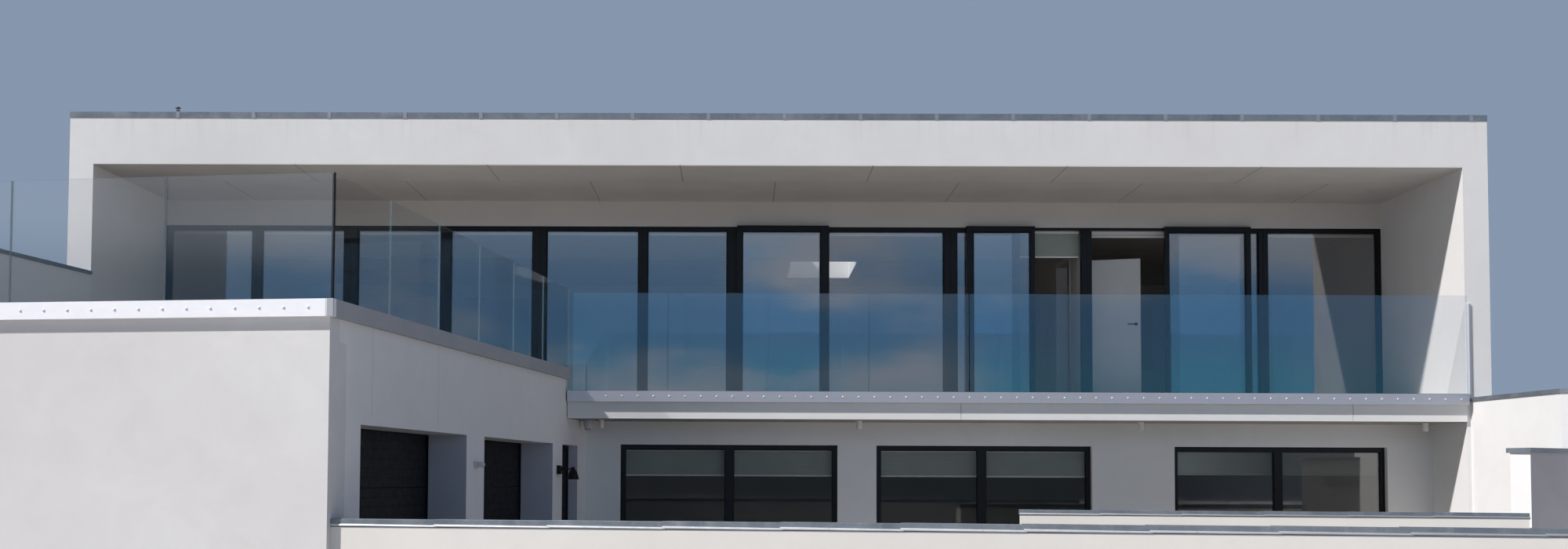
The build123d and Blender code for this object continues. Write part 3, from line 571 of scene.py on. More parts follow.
# ------------------------------------------------------------------ finishes of the carried-over solids
FINISH = {
    "render": WALL, "zinc": ZINC, "dark_frame": DARK, "silver_aluminium": ALU, "glass": PANE,
    "balustrade_glass": RAIL, "concrete": CONCRETE, "white_paint": DOORPAINT, "soffit_board": SOFFIT,
    "grey_fascia": FASCIA, "paving": PAVING, "blind_slats": SLATS, "floor_boards": BOARDS,
    "pale_plastic": PLASTIC, "garage_door": DARKER, "inside_plaster": PLASTER, "roof_membrane": MEMBRANE,
}
slot_of = {s["node"]: s["material_slot"] for s in frame["record"]["subparts"]}
special = {"window_glass": PANE_LOW, "rooflight_glass": ROOFGLASS, "balcony_fascia_boards": WALL,
           "side_door_leaf": DOORCOAT, "side_door_frame": DOORCOAT, "garage_front_wall": WALL_WING,
           "courtyard_walls": WALL_YARD, "garage_side_piers": WALL_PIER, "stub_wall": WALL_STUB,
           "upper_front_lintel": LINTEL, "terrace_channel_side": FASCIA, "balcony_channel": ALU_GREY}
for node, o in frame["nodes"].items():
    m = special.get(node, FINISH[slot_of[node]])
    for s in o.material_slots:
        s.material = m

# ------------------------------------------------------------------ roof capping: folded sheets with cover strips
b = Build()
T0, T1 = 6.386, 6.460
OUT = 0.0045


def cap_run(b, axis, c0, c1, in0, in1, first, mitre0, mitre1):
    """Sheets along axis between c0 and c1; in0 is the outer face and in1 the inner one, on the other axis."""
    s = 1 if in1 > in0 else -1
    for k in range(2):
        grow, z1, z2, low = ((0.0, 6.454, 6.444, 6.374), (0.0030, 6.4585, 6.4485, 6.3745))[k]
        a, c = in0 - s * grow, in1 + s * grow
        outline = [(a + s * 0.006, 6.386), (a, low), (a, z1), (c, z2), (c, low), (c - s * 0.006, 6.386)]
        cuts = []
        x = first
        while x < c1:
            cuts.append(x)
            x += 0.975
        cuts = [x for x in cuts if c0 + 0.12 < x < c1 - 0.12]
        spans = list(zip([c0] + cuts, cuts + [c1])) if k == 0 else [(x - 0.024, x + 0.024) for x in cuts]

        def skew(q, end, a0=a, c_in=c):
            # the mitre: the run gets longer towards its outer face
            d = (q[1 - axis] - a0) / (c_in - a0)
            if mitre0 and abs(q[axis] - c0) < 1e-6:
                q[axis] = c0 + d * abs(c_in - a0)
            if mitre1 and abs(q[axis] - c1) < 1e-6:
                q[axis] = c1 - d * abs(c_in - a0)
            return q

        for p, q in spans:
            e = 0.001 if k == 0 else 0
            p2, q2 = (p if p == c0 else p + e), (q if q == c1 else q - e)
            b.prism(outline, axis, p2, q2, k, skew)


Xa, Xb, Ya, Yb = -8.665 - OUT, 9.495 + OUT, -OUT, YB + OUT
cap_run(b, 0, Xa, Xb, Ya, 0.3 + OUT, -7.276, True, True)
cap_run(b, 0, Xa, Xb, Yb, YB - 0.35 - OUT, -7.276, True, True)
cap_run(b, 1, Ya, Yb, Xa, -8.355 + OUT, 0.95, True, True)
cap_run(b, 1, Ya, Yb, Xb, 9.175 - OUT, 0.95, True, True)
b.make("roof_capping_sheets", [ZINC, ZINC_LIGHT], "zinc", replaces=["roof_capping"])

# ------------------------------------------------------------------ low wall copings: overlapping sheets
b = Build(wing)


def coping_sheets(b, t0, t1, w0, laps, end, z0, z1):
    """Folded sheets laid from w0 away to the right: each one's near end laps over the far end of the one before.
    Slot 0 is the sheet and slot 1 its folded front lip."""
    edges = [w0] + laps
    for i, w in enumerate(edges):
        last = i == len(edges) - 1
        far = None if last else edges[i + 1] - 0.022
        tilt, out = 0.0020 + rnd.uniform(-0.0006, 0.0006), rnd.uniform(0.0, 0.0016)
        zb = z1 - 0.046            # underside of the front face, where the lip begins
        f, k = t1 - 0.0115 + out * 0.6, t0 + 0.0115 - out * 0.6
        prof = [(k + 0.004, z0), (k + 0.002, zb - 0.006), (k - 0.0055, zb - 0.012), (k - 0.0085, zb - 0.006), (k - 0.0055, zb), (k, zb + 0.004),
                (k, z1 - 0.010), (k + 0.004, z1 - 0.005), (f - 0.004, z1), (f, z1 - 0.004), (f, zb + 0.006), (f + 0.0075, zb),
                (f + 0.0105, zb - 0.005), (f + 0.0085, zb - 0.0105), (f + 0.002, zb - 0.012), (f - 0.003, zb - 0.009), (f - 0.004, z0)]
        span = abs((end(t1) if last else far) - w)

        def skew(q, at_far):
            drop = tilt * (2.0 if zb - 0.008 < q[2] < zb + 0.008 else 1.0) if span > 0.5 else 0.0
            if at_far:
                inside = 0.0012 if not last else 0.0
                q[0] += -inside if q[0] > (t0 + t1) / 2 else inside
                q[1] = end(q[0]) if last else q[1]
                q[2] -= drop
            else:
                q[2] += drop
            return q

        n = len(b.f)
        b.prism(prof, 1, w, end(t1) if last else far, 0, skew)
        for j in (10, 11, 12, 13):      # the lip's own faces, in the painted-highlight lip material
            b.m[n + 2 + j] = 1


def stub_face(t):
    """w where the wing line t meets the left face of the stub wall."""
    (ax, ay), (dx, dy) = (8.775, -2.400), (-0.125, 0.210)
    return ((WX - SN * t - ax) * dy + (CS * t + ay) * dx) / (CS * dy + SN * dx) + 0.002


coping_sheets(b, 7.2785, 7.6025, 0.0, [-0.856 - 0.912 * i for i in range(10)], lambda t: -9.911, 1.362, 1.4245)
coping_sheets(b, 0.5885, 0.8625, -5.6285, [-6.55 - 0.912 * i for i in range(5)], stub_face, 1.362, 1.4245)
b.make("wall_coping_sheets", [ZINC, LIP], "zinc", replaces=["courtyard_copings"])

# seams on the other cappings
b = Build(wing)
for t in (1.1, 2.05, 3.0, 3.95, 4.9, 5.85, 6.8):
    w = 6.09 + 0.03 * 0
    x0, x1 = 6.0405, 6.395
    b.box(t - 0.025, t + 0.025, x0 + (7.66 - t) * 0.0, x1, 4.3925, 4.3965, 0.001)
# (the parapet narrows towards the house, so its seams follow the wall's own line)
b2 = Build()
b = b2


def lerp(p, q, f):
    return tuple(a + (c - a) * f for a, c in zip(p, q))


pa, pb = (-8.335, 0.0), tuple(v for v in wing(7.672, 6.044, 0)[:2])
pb = (pb[0] - OX, pb[1] - OY)
qa, qb = (-8.685, 0.0), tuple(v for v in wing(7.672, 6.391, 0)[:2])
qb = (qb[0] - OX, qb[1] - OY)


def quad_prism(b, corners, z0, z1, mat=0):
    b.prism(corners, 2, z0, z1, mat)


for i in range(1, 7):
    f = i / 7
    h = 0.026 / 7.7
    c = [lerp(pa, pb, f - h), lerp(pa, pb, f + h), lerp(qa, qb, f + h), lerp(qa, qb, f - h)]
    quad_prism(b, c, 4.340, 4.3965)
b.make("parapet_seams", [ZINC_LIGHT], "zinc")

# ------------------------------------------------------------------ glass sheets with polished edges
G0, G1 = 0.018, 0.036


def sheet(b, a0, a1, b0, b1, c0, c1, thin):
    """Sheet with arrised edges; thin is the axis across it. Faces are slot 0 and edges slot 1."""
    lo3, hi3 = [a0, b0, c0], [a1, b1, c1]
    n = len(b.f)
    b.box(a0, a1, b0, b1, c0, c1, 0.0016, 1)
    faces = b.f[n:]
    k = 0
    for axis in range(3):
        for s in (0, 1):
            if axis == thin:
                b.m[n + k] = 0
            k += 1


b = Build()
BAL = [-2.165, -0.953, 0.323, 1.598, 2.873, 4.148, 5.423, 6.698, 7.973, 9.175]
for p, q in zip(BAL, BAL[1:]):
    sheet(b, p + 0.006, q - 0.006, -0.03 - G1, -0.03 - G0, 2.772, 4.130, 1)
b.make("balcony_glass_sheets", [RAIL, EDGE_DIM], "balustrade_glass", replaces=["balcony_glass"])

FRONT = [0, 1.395, 2.745, 4.095, 5.445, 6.371]
SIDE = [7.66, 6.423, 5.119, 3.838, 2.571, 1.321, 0.08]
b = Build(wing)
for p, q in zip(FRONT, FRONT[1:]):
    p0 = -G1 if p == 0 else p + 0.006
    sheet(b, 7.66 + G0, 7.66 + G1, p0, q - 0.006, 3.056, 4.174, 0)
for p, q in zip(SIDE, SIDE[1:]):
    sheet(b, q + 0.006, p - (0.002 if p == 7.66 else 0.006), -G1, -G0, 3.056, 4.174, 1)
b.make("terrace_glass_sheets", [RAIL_WING, EDGE], "balustrade_glass", replaces=["terrace_glass"])

# black seals: the corner joint, the open joints of the front sheets, and the gaskets in the channels
b = Build(wing)
b.box(7.66 + G0 - 0.010, 7.66 + G0, -G0 - 0.002, -G0 + 0.009, 3.13, 4.170, 0.002)
b.box(7.66 + G1 - 0.001, 7.66 + G1 + 0.002, -G1 - 0.002, -G1 + 0.007, 3.168, 4.1755, 0.0008)
b.box(7.66 + G0, 7.66 + G1 + 0.001, -G1 - 0.002, -G1 + 0.001, 3.168, 4.1755, 0.0006)
for w in FRONT[1:-1]:
    b.box(7.66 + G0 + 0.004, 7.66 + G1 - 0.004, w - 0.0058, w + 0.0058, 3.14, 4.170, 0.001, 1)
for s0, s1 in ((0.0165, 0.018), (0.036, 0.0375)):
    b.box(7.66 + s0, 7.66 + s1, -0.03, 6.36, 3.13, 3.1695, 0.0006)
    b.box(0.10, 7.65, -s1, -s0, 3.13, 3.1695, 0.0006)
b.make("terrace_glass_seals", [RUBBER, CLEARSEAL], "dark_frame")
b = Build()
for s0, s1 in ((0.0165, 0.018), (0.036, 0.0375)):
    b.box(-2.20, 9.17, -0.03 - s1, -0.03 - s0, 2.84, 2.884, 0.0006)
b.make("balcony_glass_seals", [RUBBER], "dark_frame")

# ------------------------------------------------------------------ channel bolts, end plates and joints
BOLT = [(0, 0), (0.0125, 0), (0.0125, 0.0020), (0.0096, 0.0028), (0.0092, 0.0056), (0.0070, 0.0078), (0.0030, 0.0086),
        (0.0026, 0.0070), (0, 0.0070)]
b = Build()
n = 57
for i in range(n):
    x = -2.13 + 0.2 * i
    b.lathe((x, -0.094, 2.812), 1, [(r, -h) for r, h in BOLT], 14)
b.make("balcony_channel_bolts", [BOLT_STEEL], "silver_aluminium")
b = Build(wing)
for i in range(31):
    w = 0.158 + 0.2055 * i
    if w < 6.33:
        b.lathe((7.724, w, 3.097), 0, BOLT, 14)
b.make("terrace_channel_bolts", [BOLT_STEEL], "silver_aluminium")

b = Build(wing)      # joints and end plates
for w in (0.012, 3.02):
    b.box(7.7238, 7.7252, w - 0.0012, w + 0.0012, 3.027, 3.165)
b.box(7.714, 7.7265, -0.0515, 0.004, 3.0255, 3.1665, 0.001)
for t in (1.9, 4.9):
    b.box(t - 0.001, t + 0.001, -0.0512, -0.0496, 3.027, 3.165)
b.make("terrace_channel_joints", [FASCIA], "silver_aluminium")
b = Build()
for x in (0.78, 3.78, 6.78):
    b.box(x - 0.001, x + 0.001, -0.0952, -0.0936, 2.743, 2.879)
b.make("balcony_channel_joints", [FASCIA], "silver_aluminium")

# fine cracks of the board joints that telegraph through the render beside the garage doors
b = Build(wing)
for t in (6.73, 5.01):
    b.box(t - 0.0015, t + 0.0015, -0.0006, 0.003, 2.26, 3.02)
b.make("render_hairlines", [plain_paint("hairline", srgb(176, 174, 172), srgb(166, 164, 162), 0.9)], "render")

# ------------------------------------------------------------------ upper glazing: beads, seals, covers
POSTS = [(-8.355, -8.278), (-7.102, -6.962), (-5.770, -5.570), (-4.365, -4.223), (-3.040, -2.841), (-1.508, -1.382),
         (-0.229, -0.025), (1.113, 1.231), (2.894, 3.080), (3.896, 3.986), (4.870, 5.023), (6.158, 6.268), (7.418, 7.551),
         (9.113, 9.175)]
OPEN = [(3.986, 4.870), (5.023, 6.158)]
BAYS = [(p[1], q[0]) for p, q in zip(POSTS, POSTS[1:])]
FIXED = [bay for bay in BAYS if bay not in OPEN]
ZS, ZH = 2.935, 5.376


def beads(b, a0, a1, z0, z1, y0, y1, wide, axis_mat=0):
    """Four bead lengths round a light, with square butt joints."""
    b.box(a0, a1, y0, y1, z1 - wide, z1, 0.002, axis_mat)
    b.box(a0, a1, y0, y1, z0, z0 + wide, 0.002, axis_mat)
    b.box(a0, a0 + wide, y0, y1, z0 + wide, z1 - wide, 0.002, axis_mat)
    b.box(a1 - wide, a1, y0, y1, z0 + wide, z1 - wide, 0.002, axis_mat)


b = Build()
seal = Build()
for p, q in FIXED:
    beads(b, p, q, ZS + 0.05, ZH - 0.001, 2.618, 2.634, 0.010)
    beads(seal, p + 0.010, q - 0.010, ZS + 0.06, ZH - 0.011, 2.626, 2.6335, 0.004)
    beads(b, p, q, ZS + 0.05, ZH - 0.001, 2.656, 2.672, 0.010)
    b.box(p, q, 2.600, 2.612, ZS + 0.052, ZS + 0.062, 0.002)
for p, q in POSTS:
    if q - p > 0.12:
        c = (p + q) / 2
        b.box(p + 0.004, c - 0.0012, 2.594, 2.602, ZS, ZH, 0.001)
        b.box(c + 0.0012, q - 0.004, 2.594, 2.602, ZS, ZH, 0.001)
b.make("glazing_beads", [DARK], "dark_frame")
seal.make("glazing_seals", [RUBBER], "dark_frame")

# sashes: beads, seals, pull handles, running gear on the sill
SASHES = [(3.212, 4.190, 0.090, 0.065), (6.058, 7.284, 0.048, 0.072), (-0.085, 1.231, 0.070, 0.112)]
b = Build()
seal = Build()
S0, S1 = 2.515, 2.585
for i, (p, q, ls, rs) in enumerate(SASHES):
    z0, z1 = 2.89 + 0.09, 5.411 - 0.07
    for y0, y1 in ((S0 + 0.008, S0 + 0.026), (S0 + 0.048, S0 + 0.062)):
        beads(b, p + ls, q - rs, z0, z1, y0, y1, 0.012)
    beads(seal, p + ls + 0.012, q - rs - 0.012, z0 + 0.012, z1 - 0.012, S0 + 0.018, S0 + 0.0255, 0.005)
    b.box(p - 0.004, q + 0.004, S0 - 0.006, S1 + 0.006, 5.405, 5.418, 0.003)
    hx = (q - rs / 2, p + ls / 2, q - rs / 2)[i]
    for side in (-1, 1):
        y = S0 if side < 0 else S1
        b.box(hx - 0.014, hx + 0.014, y, y + side * 0.006, 3.80, 4.04, 0.003)
        b.tube([(hx, y + side * 0.004, 3.83), (hx, y + side * 0.028, 3.83), (hx, y + side * 0.030, 3.85),
                (hx, y + side * 0.030, 3.99), (hx, y + side * 0.028, 4.01), (hx, y + side * 0.004, 4.01)], 0.006, 10)
b.box(-8.35, 9.17, 2.500, 2.508, 2.884, 2.896, 0.002)
b.box(-8.35, 9.17, 2.590, 2.598, 2.884, 2.896, 0.002)
b.make("sash_beads_and_handles", [DARK], "dark_frame")
seal.make("sash_seals", [RUBBER], "dark_frame")

# ------------------------------------------------------------------ blinds
b = Build()


def closed_blind(b, a0, a1, y, z_low, z_top, mat=0, pitch=0.022):
    """Slats turned shut: each laps over the next one down."""
    b.box(a0, a1, y, y + 0.045, z_top - 0.050, z_top, 0.004, 1)
    z = z_top - 0.048
    while z > z_low + 0.03:
        k = pitch / 0.022
        prof = [(y + 0.013, z), (y + 0.0205, z - 0.013 * k), (y + 0.024, z - 0.0265 * k), (y + 0.0225, z - 0.0268 * k),
                (y + 0.0188, z - 0.013 * k), (y + 0.0115, z - 0.0004)]
        b.prism(prof, 0, a0 + 0.004, a1 - 0.004, mat)
        z -= pitch
    b.box(a0 + 0.003, a1 - 0.003, y + 0.008, y + 0.034, z_low, z_low + 0.024, 0.004, 1)


WIN = [(-1.630, 1.268, -0.175, 1.808), (1.786, 4.654, 3.200, 1.808), (5.752, 8.574, 7.155, 1.850)]
for a, c, m_, z in WIN:
    for p, q in ((a + 0.056, m_ - 0.052), (m_ + 0.052, c - 0.056)):
        # painted light: the third window's blinds take the lighter copy of the slats
        closed_blind(b, p - 0.008, q + 0.008, 1.197, z, 2.196, 2 if a > 5 else 0, 0.025)
b.make("window_blinds", [SLATS, DOORPAINT, SLATS_PAINTED_LIGHT], "blind_slats", replaces=["blinds"])
b = Build()


closed_blind(b, 3.995, 4.862, 2.705, 4.992, 5.395, 2, 0.016)
closed_blind(b, 5.033, 6.148, 2.705, 5.288, 5.395)
for p, q in FIXED:      # raised blinds behind the fixed lights
    closed_blind(b, p + 0.01, q - 0.01, 2.705, 5.300, 5.395)
WINB = [(-7.000, -4.130), (-1.050, 1.820), (4.850, 7.720)]
for a, c in WINB:       # lowered blinds at the back
    closed_blind(b, a - 0.06, c + 0.06, YB - 0.410, 3.850, 5.270)
b.make("upper_blinds", [PALE_SLATS, DOORPAINT, SLATS], "blind_slats")

# ------------------------------------------------------------------ lower and back windows: beads, seals, sills
b = Build()
seal = Build()
sill = Build()
for a, c, m_, z in WIN:
    for p, q in ((a + 0.056, m_ - 0.052), (m_ + 0.052, c - 0.056)):
        beads(b, p, q, 0.956, 2.170, 1.108, 1.128, 0.010)
        beads(seal, p + 0.010, q - 0.010, 0.966, 2.160, 1.120, 1.1275, 0.004)
        beads(b, p, q, 0.956, 2.170, 1.152, 1.168, 0.010)
    b.box(a + 0.002, c - 0.002, 1.094, 1.102, 0.905, 0.93, 0.002)
    prof = [(0.975, 0.874), (0.975, 0.892), (0.981, 0.896), (1.100, 0.906), (1.100, 0.899), (1.010, 0.886), (0.981, 0.886), (0.981, 0.874)]
    sill.prism(prof, 0, a + 0.001, c - 0.001, 0)
    for e0, e1 in ((a + 0.001, a + 0.012), (c - 0.012, c - 0.001)):
        sill.box(e0, e1, 1.0101, 1.100, 0.900, 0.918, 0.002)
for a, c in WINB:
    m_ = (a + c) / 2
    for p, q in ((a + 0.056, m_ - 0.052), (m_ + 0.052, c - 0.056)):
        beads(b, p, q, 3.956, 5.170, YB - 0.118, YB - 0.098, 0.010)
        beads(seal, p + 0.010, q - 0.010, 3.966, 5.160, YB - 0.1175, YB - 0.110, 0.004)
        beads(b, p, q, 3.956, 5.170, YB - 0.158, YB - 0.142, 0.010)
    prof = [(YB + d, z) for d, z in ((0.0075, 3.874), (0.0075, 3.892), (0.005, 3.896), (-0.090, 3.906), (-0.090, 3.899),
                                     (0.0, 3.890), (0.003, 3.889), (0.003, 3.874))]
    sill.prism(prof, 0, a + 0.001, c - 0.001, 0)
b.make("window_beads", [DARK], "dark_frame")
seal.make("window_seals", [RUBBER], "dark_frame")
sill.make("window_sills", [DARK], "dark_frame")

# ------------------------------------------------------------------ garage doors: ribbed sections
GATES = [(4.115, 6.980), (0.695, 3.515)]
b = Build(wing)
trim = Build(wing)
for a, c in GATES:
    z, dz = 0.062, (2.195 - 0.062) / 4
    for i in range(4):
        z0, z1 = 0.062 + dz * i + 0.001, 0.062 + dz * (i + 1) - 0.001
        if i == 3:
            z1 = 2.255
        # back sheet with a face of shallow flat ribs
        b.box(a - 0.06, c + 0.06, 0.418, 0.459, z0, z1, 0.003)
        n = 6
        for k in range(n):
            r0 = z0 + (z1 - z0 if i < 3 else dz) * k / n
            r1 = z0 + (z1 - z0 if i < 3 else dz) * (k + 1) / n
            b.box(a - 0.06, c + 0.06, 0.4150, 0.419, r0 + 0.0012, r1 - 0.0012, 0.0012)
    trim.box(a - 0.001, c + 0.001, 0.402, 0.4145, 0.0605, 0.085, 0.004)
    for e in (a, c):
        s = 1 if e == a else -1
        trim.box(e, e + s * 0.018, 0.400, 0.4140, 0.085, 2.194, 0.003)
    trim.box(a, c, 0.400, 0.4140, 2.178, 2.1948, 0.003)
b.make("garage_door_sections", [DARKER], "garage_door", replaces=["garage_doors"])
trim.make("garage_door_seals", [RUBBER], "garage_door")
b = Build(wing)
for a, c in GATES:
    m_ = (a + c) / 2
    b.lathe((m_, 0.4145, 0.93), 1, [(0, 0), (0.017, 0), (0.017, -0.005), (0.012, -0.009), (0.0, -0.009)], 18)
    b.box(m_ - 0.013, m_ + 0.013, 0.4055, 0.4070, 0.9275, 0.9325)
b.make("garage_door_locks", [ALU], "silver_aluminium")

# ------------------------------------------------------------------ side door: lever handles, hinges, seal
D0, D1 = -0.565, 0.229
L0, L1 = D0 + 0.045 + 0.008, D1 - 0.045 - 0.008
HT, HZ = L1 - 0.075, 1.080
b = Build(wing)
for face, s in ((0.130, -1), (0.186, 1)):
    b.box(HT - 0.019, HT + 0.019, face, face + s * 0.008, HZ - 0.15, HZ + 0.06, 0.003)
    b.lathe((HT, face + s * 0.004, HZ), 1, [(0, 0), (0.017, 0), (0.017, s * 0.012), (0.0095, s * 0.015), (0.0095, s * 0.046), (0, s * 0.046)], 18)
    y = face + s * 0.046
    b.tube([(HT + 0.003, y, HZ), (HT - 0.012, y + s * 0.002, HZ), (HT - 0.06, y + s * 0.003, HZ), (HT - 0.118, y, HZ),
            (HT - 0.127, y - s * 0.007, HZ)], 0.0095, 14)
    b.lathe((HT, face + s * 0.007, HZ - 0.092), 1, [(0, 0), (0.0105, 0), (0.0105, s * 0.006), (0.008, s * 0.008), (0, s * 0.008)], 18)
b.make("side_door_levers", [STEEL], "silver_aluminium", body="side_door", replaces=["side_door_handle"])
b = Build(wing)
b.box(L0 + 0.10, L1 - 0.16, 0.1288, 0.1305, 0.26, 0.2635)
for z in (0.52, 0.94, 1.36, 1.78):
    b.box(L0 + 0.015, L1 - 0.15, 0.1286, 0.1302, z, z + 0.0035)
b.box(L0 + 0.004, L1 - 0.004, 0.1275, 0.1345, 0.088, 0.115, 0.002)
b.make("side_door_trim", [RUBBER], "dark_frame", body="side_door")
b = Build(wing)
strap = Build(wing)
for z in (0.35, 1.12, 1.90):
    for z0 in (z, z + 0.068):
        b.lathe((L0, 0.186, z0), 2, [(0, 0), (0.0062, 0), (0.007, 0.0008), (0.007, 0.0312), (0.0062, 0.032), (0, 0.032)], 24)
        b.box(L0 - 0.008, L0, 0.183, 0.189, z0, z0 + 0.032, 0.0006)
    for z0 in (z + 0.032, z + 0.066):
        b.lathe((L0, 0.186, z0), 2, [(0, 0), (0.0035, 0), (0.0035, 0.002), (0, 0.002)], 16)
    strap.lathe((L0, 0.186, z + 0.034), 2, [(0, 0), (0.0062, 0), (0.007, 0.0008), (0.007, 0.0312), (0.0062, 0.032), (0, 0.032)], 24)
    strap.box(L0, L0 + 0.062, 0.186, 0.189, z + 0.034, z + 0.066, 0.0008)
    for k in range(3):
        strap.lathe((L0 + 0.022 + 0.014 * k, 0.189, z + (0.043, 0.057, 0.043)[k]), 1, [(0, 0), (0.0036, 0), (0.0028, 0.0006), (0, 0.0008)], 14)
b.make("side_door_hinge_knuckles", [STEEL], "silver_aluminium", replaces=["side_door_hinges"])
strap.make("side_door_hinge_leaves", [STEEL], "silver_aluminium", body="side_door", replaces=["side_door_hinge_straps"])

# ------------------------------------------------------------------ wall lamp, sensors, lamps under the balcony
LT, LZ = 0.462, 1.872
b = Build(wing)
b.box(LT - 0.040, LT + 0.040, -0.050, 0.0, LZ - 0.055, LZ + 0.055, 0.006)
b.lathe((LT, -0.050, LZ + 0.012), 1, [(0, 0), (0.016, 0), (0.016, -0.012), (0.009, -0.016), (0, -0.016)], 20)
b.tube([(LT, -0.055, LZ + 0.012), (LT, -0.12, LZ + 0.012), (LT, -0.185, LZ + 0.013)], 0.0088, 14)
b.lathe((LT, -0.200, LZ + 0.012), 0, [(0, -0.012), (0.013, -0.012), (0.015, 0.0), (0.013, 0.012), (0, 0.012)], 20)
c0 = (LT, -0.200, LZ)
b.lathe(c0, 2, [(0, 0.037), (0.018, 0.037), (0.022, 0.031), (0.0225, 0.013), (0.034, 0.000), (0.0455, -0.016), (0.0555, -0.040),
                (0.0625, -0.066), (0.0690, -0.090), (0.0740, -0.113), (0.0745, -0.118), (0.0722, -0.118), (0.0670, -0.090),
                (0.0605, -0.066), (0.0530, -0.040), (0.0430, -0.018), (0.032, -0.004), (0.0, -0.002)], 40)
b.make("wall_lamp_fitting", [DARK], "dark_frame", replaces=["wall_lamp"])
b = Build(wing)
b.lathe(c0, 2, [(0, -0.016), (0.014, -0.018), (0.014, -0.042), (0.026, -0.058), (0.028, -0.074), (0.018, -0.088), (0, -0.092)], 24)
b.make("wall_lamp_bulb", [PLASTIC], "pale_plastic")

b = Build(wing)
b.box(3.764, 3.866, -0.020, 0.0, 1.860, 1.933, 0.005)
b.prism([(-0.018, 1.868), (-0.018, 1.929), (-0.074, 1.929), (-0.074, 1.866), (-0.066, 1.872), (-0.052, 1.879), (-0.036, 1.877)], 0, 3.777, 3.853)
b.lathe((3.815, -0.070, 1.897), 0, [(0, -0.042), (0.014, -0.042), (0.023, -0.037), (0.0265, -0.026), (0.0265, 0.026), (0.023, 0.037), (0.014, 0.042), (0, 0.042)], 28, 0)
b.lathe((3.815, -0.092, 1.897), 1, [(0, 0), (0.012, 0), (0.011, -0.0035), (0, -0.004)], 20, 1)
b.place = house
CXD, CYD = -2.02, 0.64
b.lathe((CXD, CYD, 2.531), 2, [(0, 0), (0.071, 0), (0.072, -0.02), (0.070, -0.066), (0.066, -0.072), (0, -0.072)], 36)
b.lathe((CXD, CYD, 2.459), 2, [(0, 0), (0.062, 0), (0.062, -0.020), (0.054, -0.046), (0.036, -0.061), (0.015, -0.066), (0, -0.066)], 36, 0)
for dx in (-0.018, 0.020):
    b.lathe((CXD + dx, CYD - 0.044, 2.414), 1, [(0, 0.01), (0.0085, 0.01), (0.0085, -0.008), (0.006, -0.0105), (0, -0.0105)], 18, 1)
b.make("wall_sensor_fittings", [PLASTIC, LENS], "pale_plastic", replaces=["wall_sensors"])

b = Build()
for x in (-1.845, 1.517, 5.176, 8.866):
    b.lathe((x, 0.5, 2.531), 2, [(0, 0), (0.041, 0), (0.041, -0.006), (0.036, -0.008), (0.036, -0.102), (0.034, -0.105), (0.029, -0.105),
                                  (0.0275, -0.085), (0, -0.083)], 32)
    b.lathe((x, 0.5, 2.446), 2, [(0, 0), (0.026, 0), (0.026, -0.004), (0.018, -0.009), (0, -0.010)], 28, 1)
b.make("balcony_lamps", [DOORPAINT, LENS], "pale_plastic", replaces=["balcony_downlights"])

# painted shadow: dark strips in the open joints of the soffit boards, and fainter ones along the row joints
ROW1 = [-5.765, -3.290, -0.815, 1.660, 4.140, 6.620]
ROW2 = [-7.040, -4.570, -2.070, 0.430, 2.910, 5.390, 7.880]
b = Build()
for row, y0, y1 in ((ROW1, 0.016, 1.096), (ROW2, 1.104, 2.586)):
    for x in row:
        b.box(x - 0.0042, x + 0.0042, y0, y1, 5.7756, 5.787, 0.0004)
b.box(-8.35, 9.17, 1.0985, 1.1015, 5.7752, 5.787, 0.0004, 1)
b.box(-8.35, 9.17, 2.5865, 2.5895, 5.7752, 5.787, 0.0004, 1)
b.make("soffit_joint_shadow_strips", [JOINT_SHADOW, FAINT_JOINT_SHADOW], "dark_frame")

# lower field of the room ceiling, round the rooflight shaft, in the grey painted-shade plaster
b = Build()
cy0, cy1, cz0, cz1 = 6.45, YB - 0.355, 5.470, 5.4995
for x0, x1 in ((-8.345, 0.795), (1.965, 4.862)):
    b.box(x0, x1, cy0, cy1, cz0, cz1, 0.002)
b.box(0.795, 1.965, cy0, 6.585, cz0, cz1, 0.002)
b.box(0.795, 1.965, 8.815, cy1, cz0, cz1, 0.002)
b.make("room_ceiling_field", [CEILING], "inside_plaster")

# ------------------------------------------------------------------ rooflight and vent
b = Build()
RX0, RX1, RY0, RY1 = 0.81, 1.95, 6.6, 8.8
for p in ((RX0 - 0.086, RX1 + 0.086, RY0 - 0.086, RY0 - 0.036), (RX0 - 0.086, RX1 + 0.086, RY1 + 0.036, RY1 + 0.086)):
    b.box(*p, 6.285, 6.348, 0.005)
for p in ((RX0 - 0.086, RX0 - 0.036, RY0 - 0.036, RY1 + 0.036), (RX1 + 0.036, RX1 + 0.086, RY0 - 0.036, RY1 + 0.036)):
    b.box(*p, 6.285, 6.348, 0.005)
b.make("rooflight_frame", [DARK], "zinc")
b = Build()      # white boards that line the shaft, with a fine joint at the ceiling
for p in ((RX0 + 0.0005, RX0 + 0.012, RY0 + 0.0005, RY1 - 0.0005), (RX1 - 0.012, RX1 - 0.0005, RY0 + 0.0005, RY1 - 0.0005),
          (RX0 + 0.0125, RX1 - 0.0125, RY0 + 0.0005, RY0 + 0.012), (RX0 + 0.0125, RX1 - 0.0125, RY1 - 0.012, RY1 - 0.0005)):
    b.box(*p, 5.480, 6.306, 0.001)
b.make("rooflight_shaft_lining", [LACQUER], "white_paint")
b = Build()
VX, VY = -7.46, 0.5
b.lathe((VX, VY, 6.16), 2, [(0, 0), (0.095, 0), (0.095, 0.003), (0.035, 0.02), (0.024, 0.045), (0.019, 0.06), (0.018, 0.395), (0.021, 0.40),
                            (0.021, 0.415), (0.018, 0.42), (0.018, 0.44), (0, 0.44)], 28)
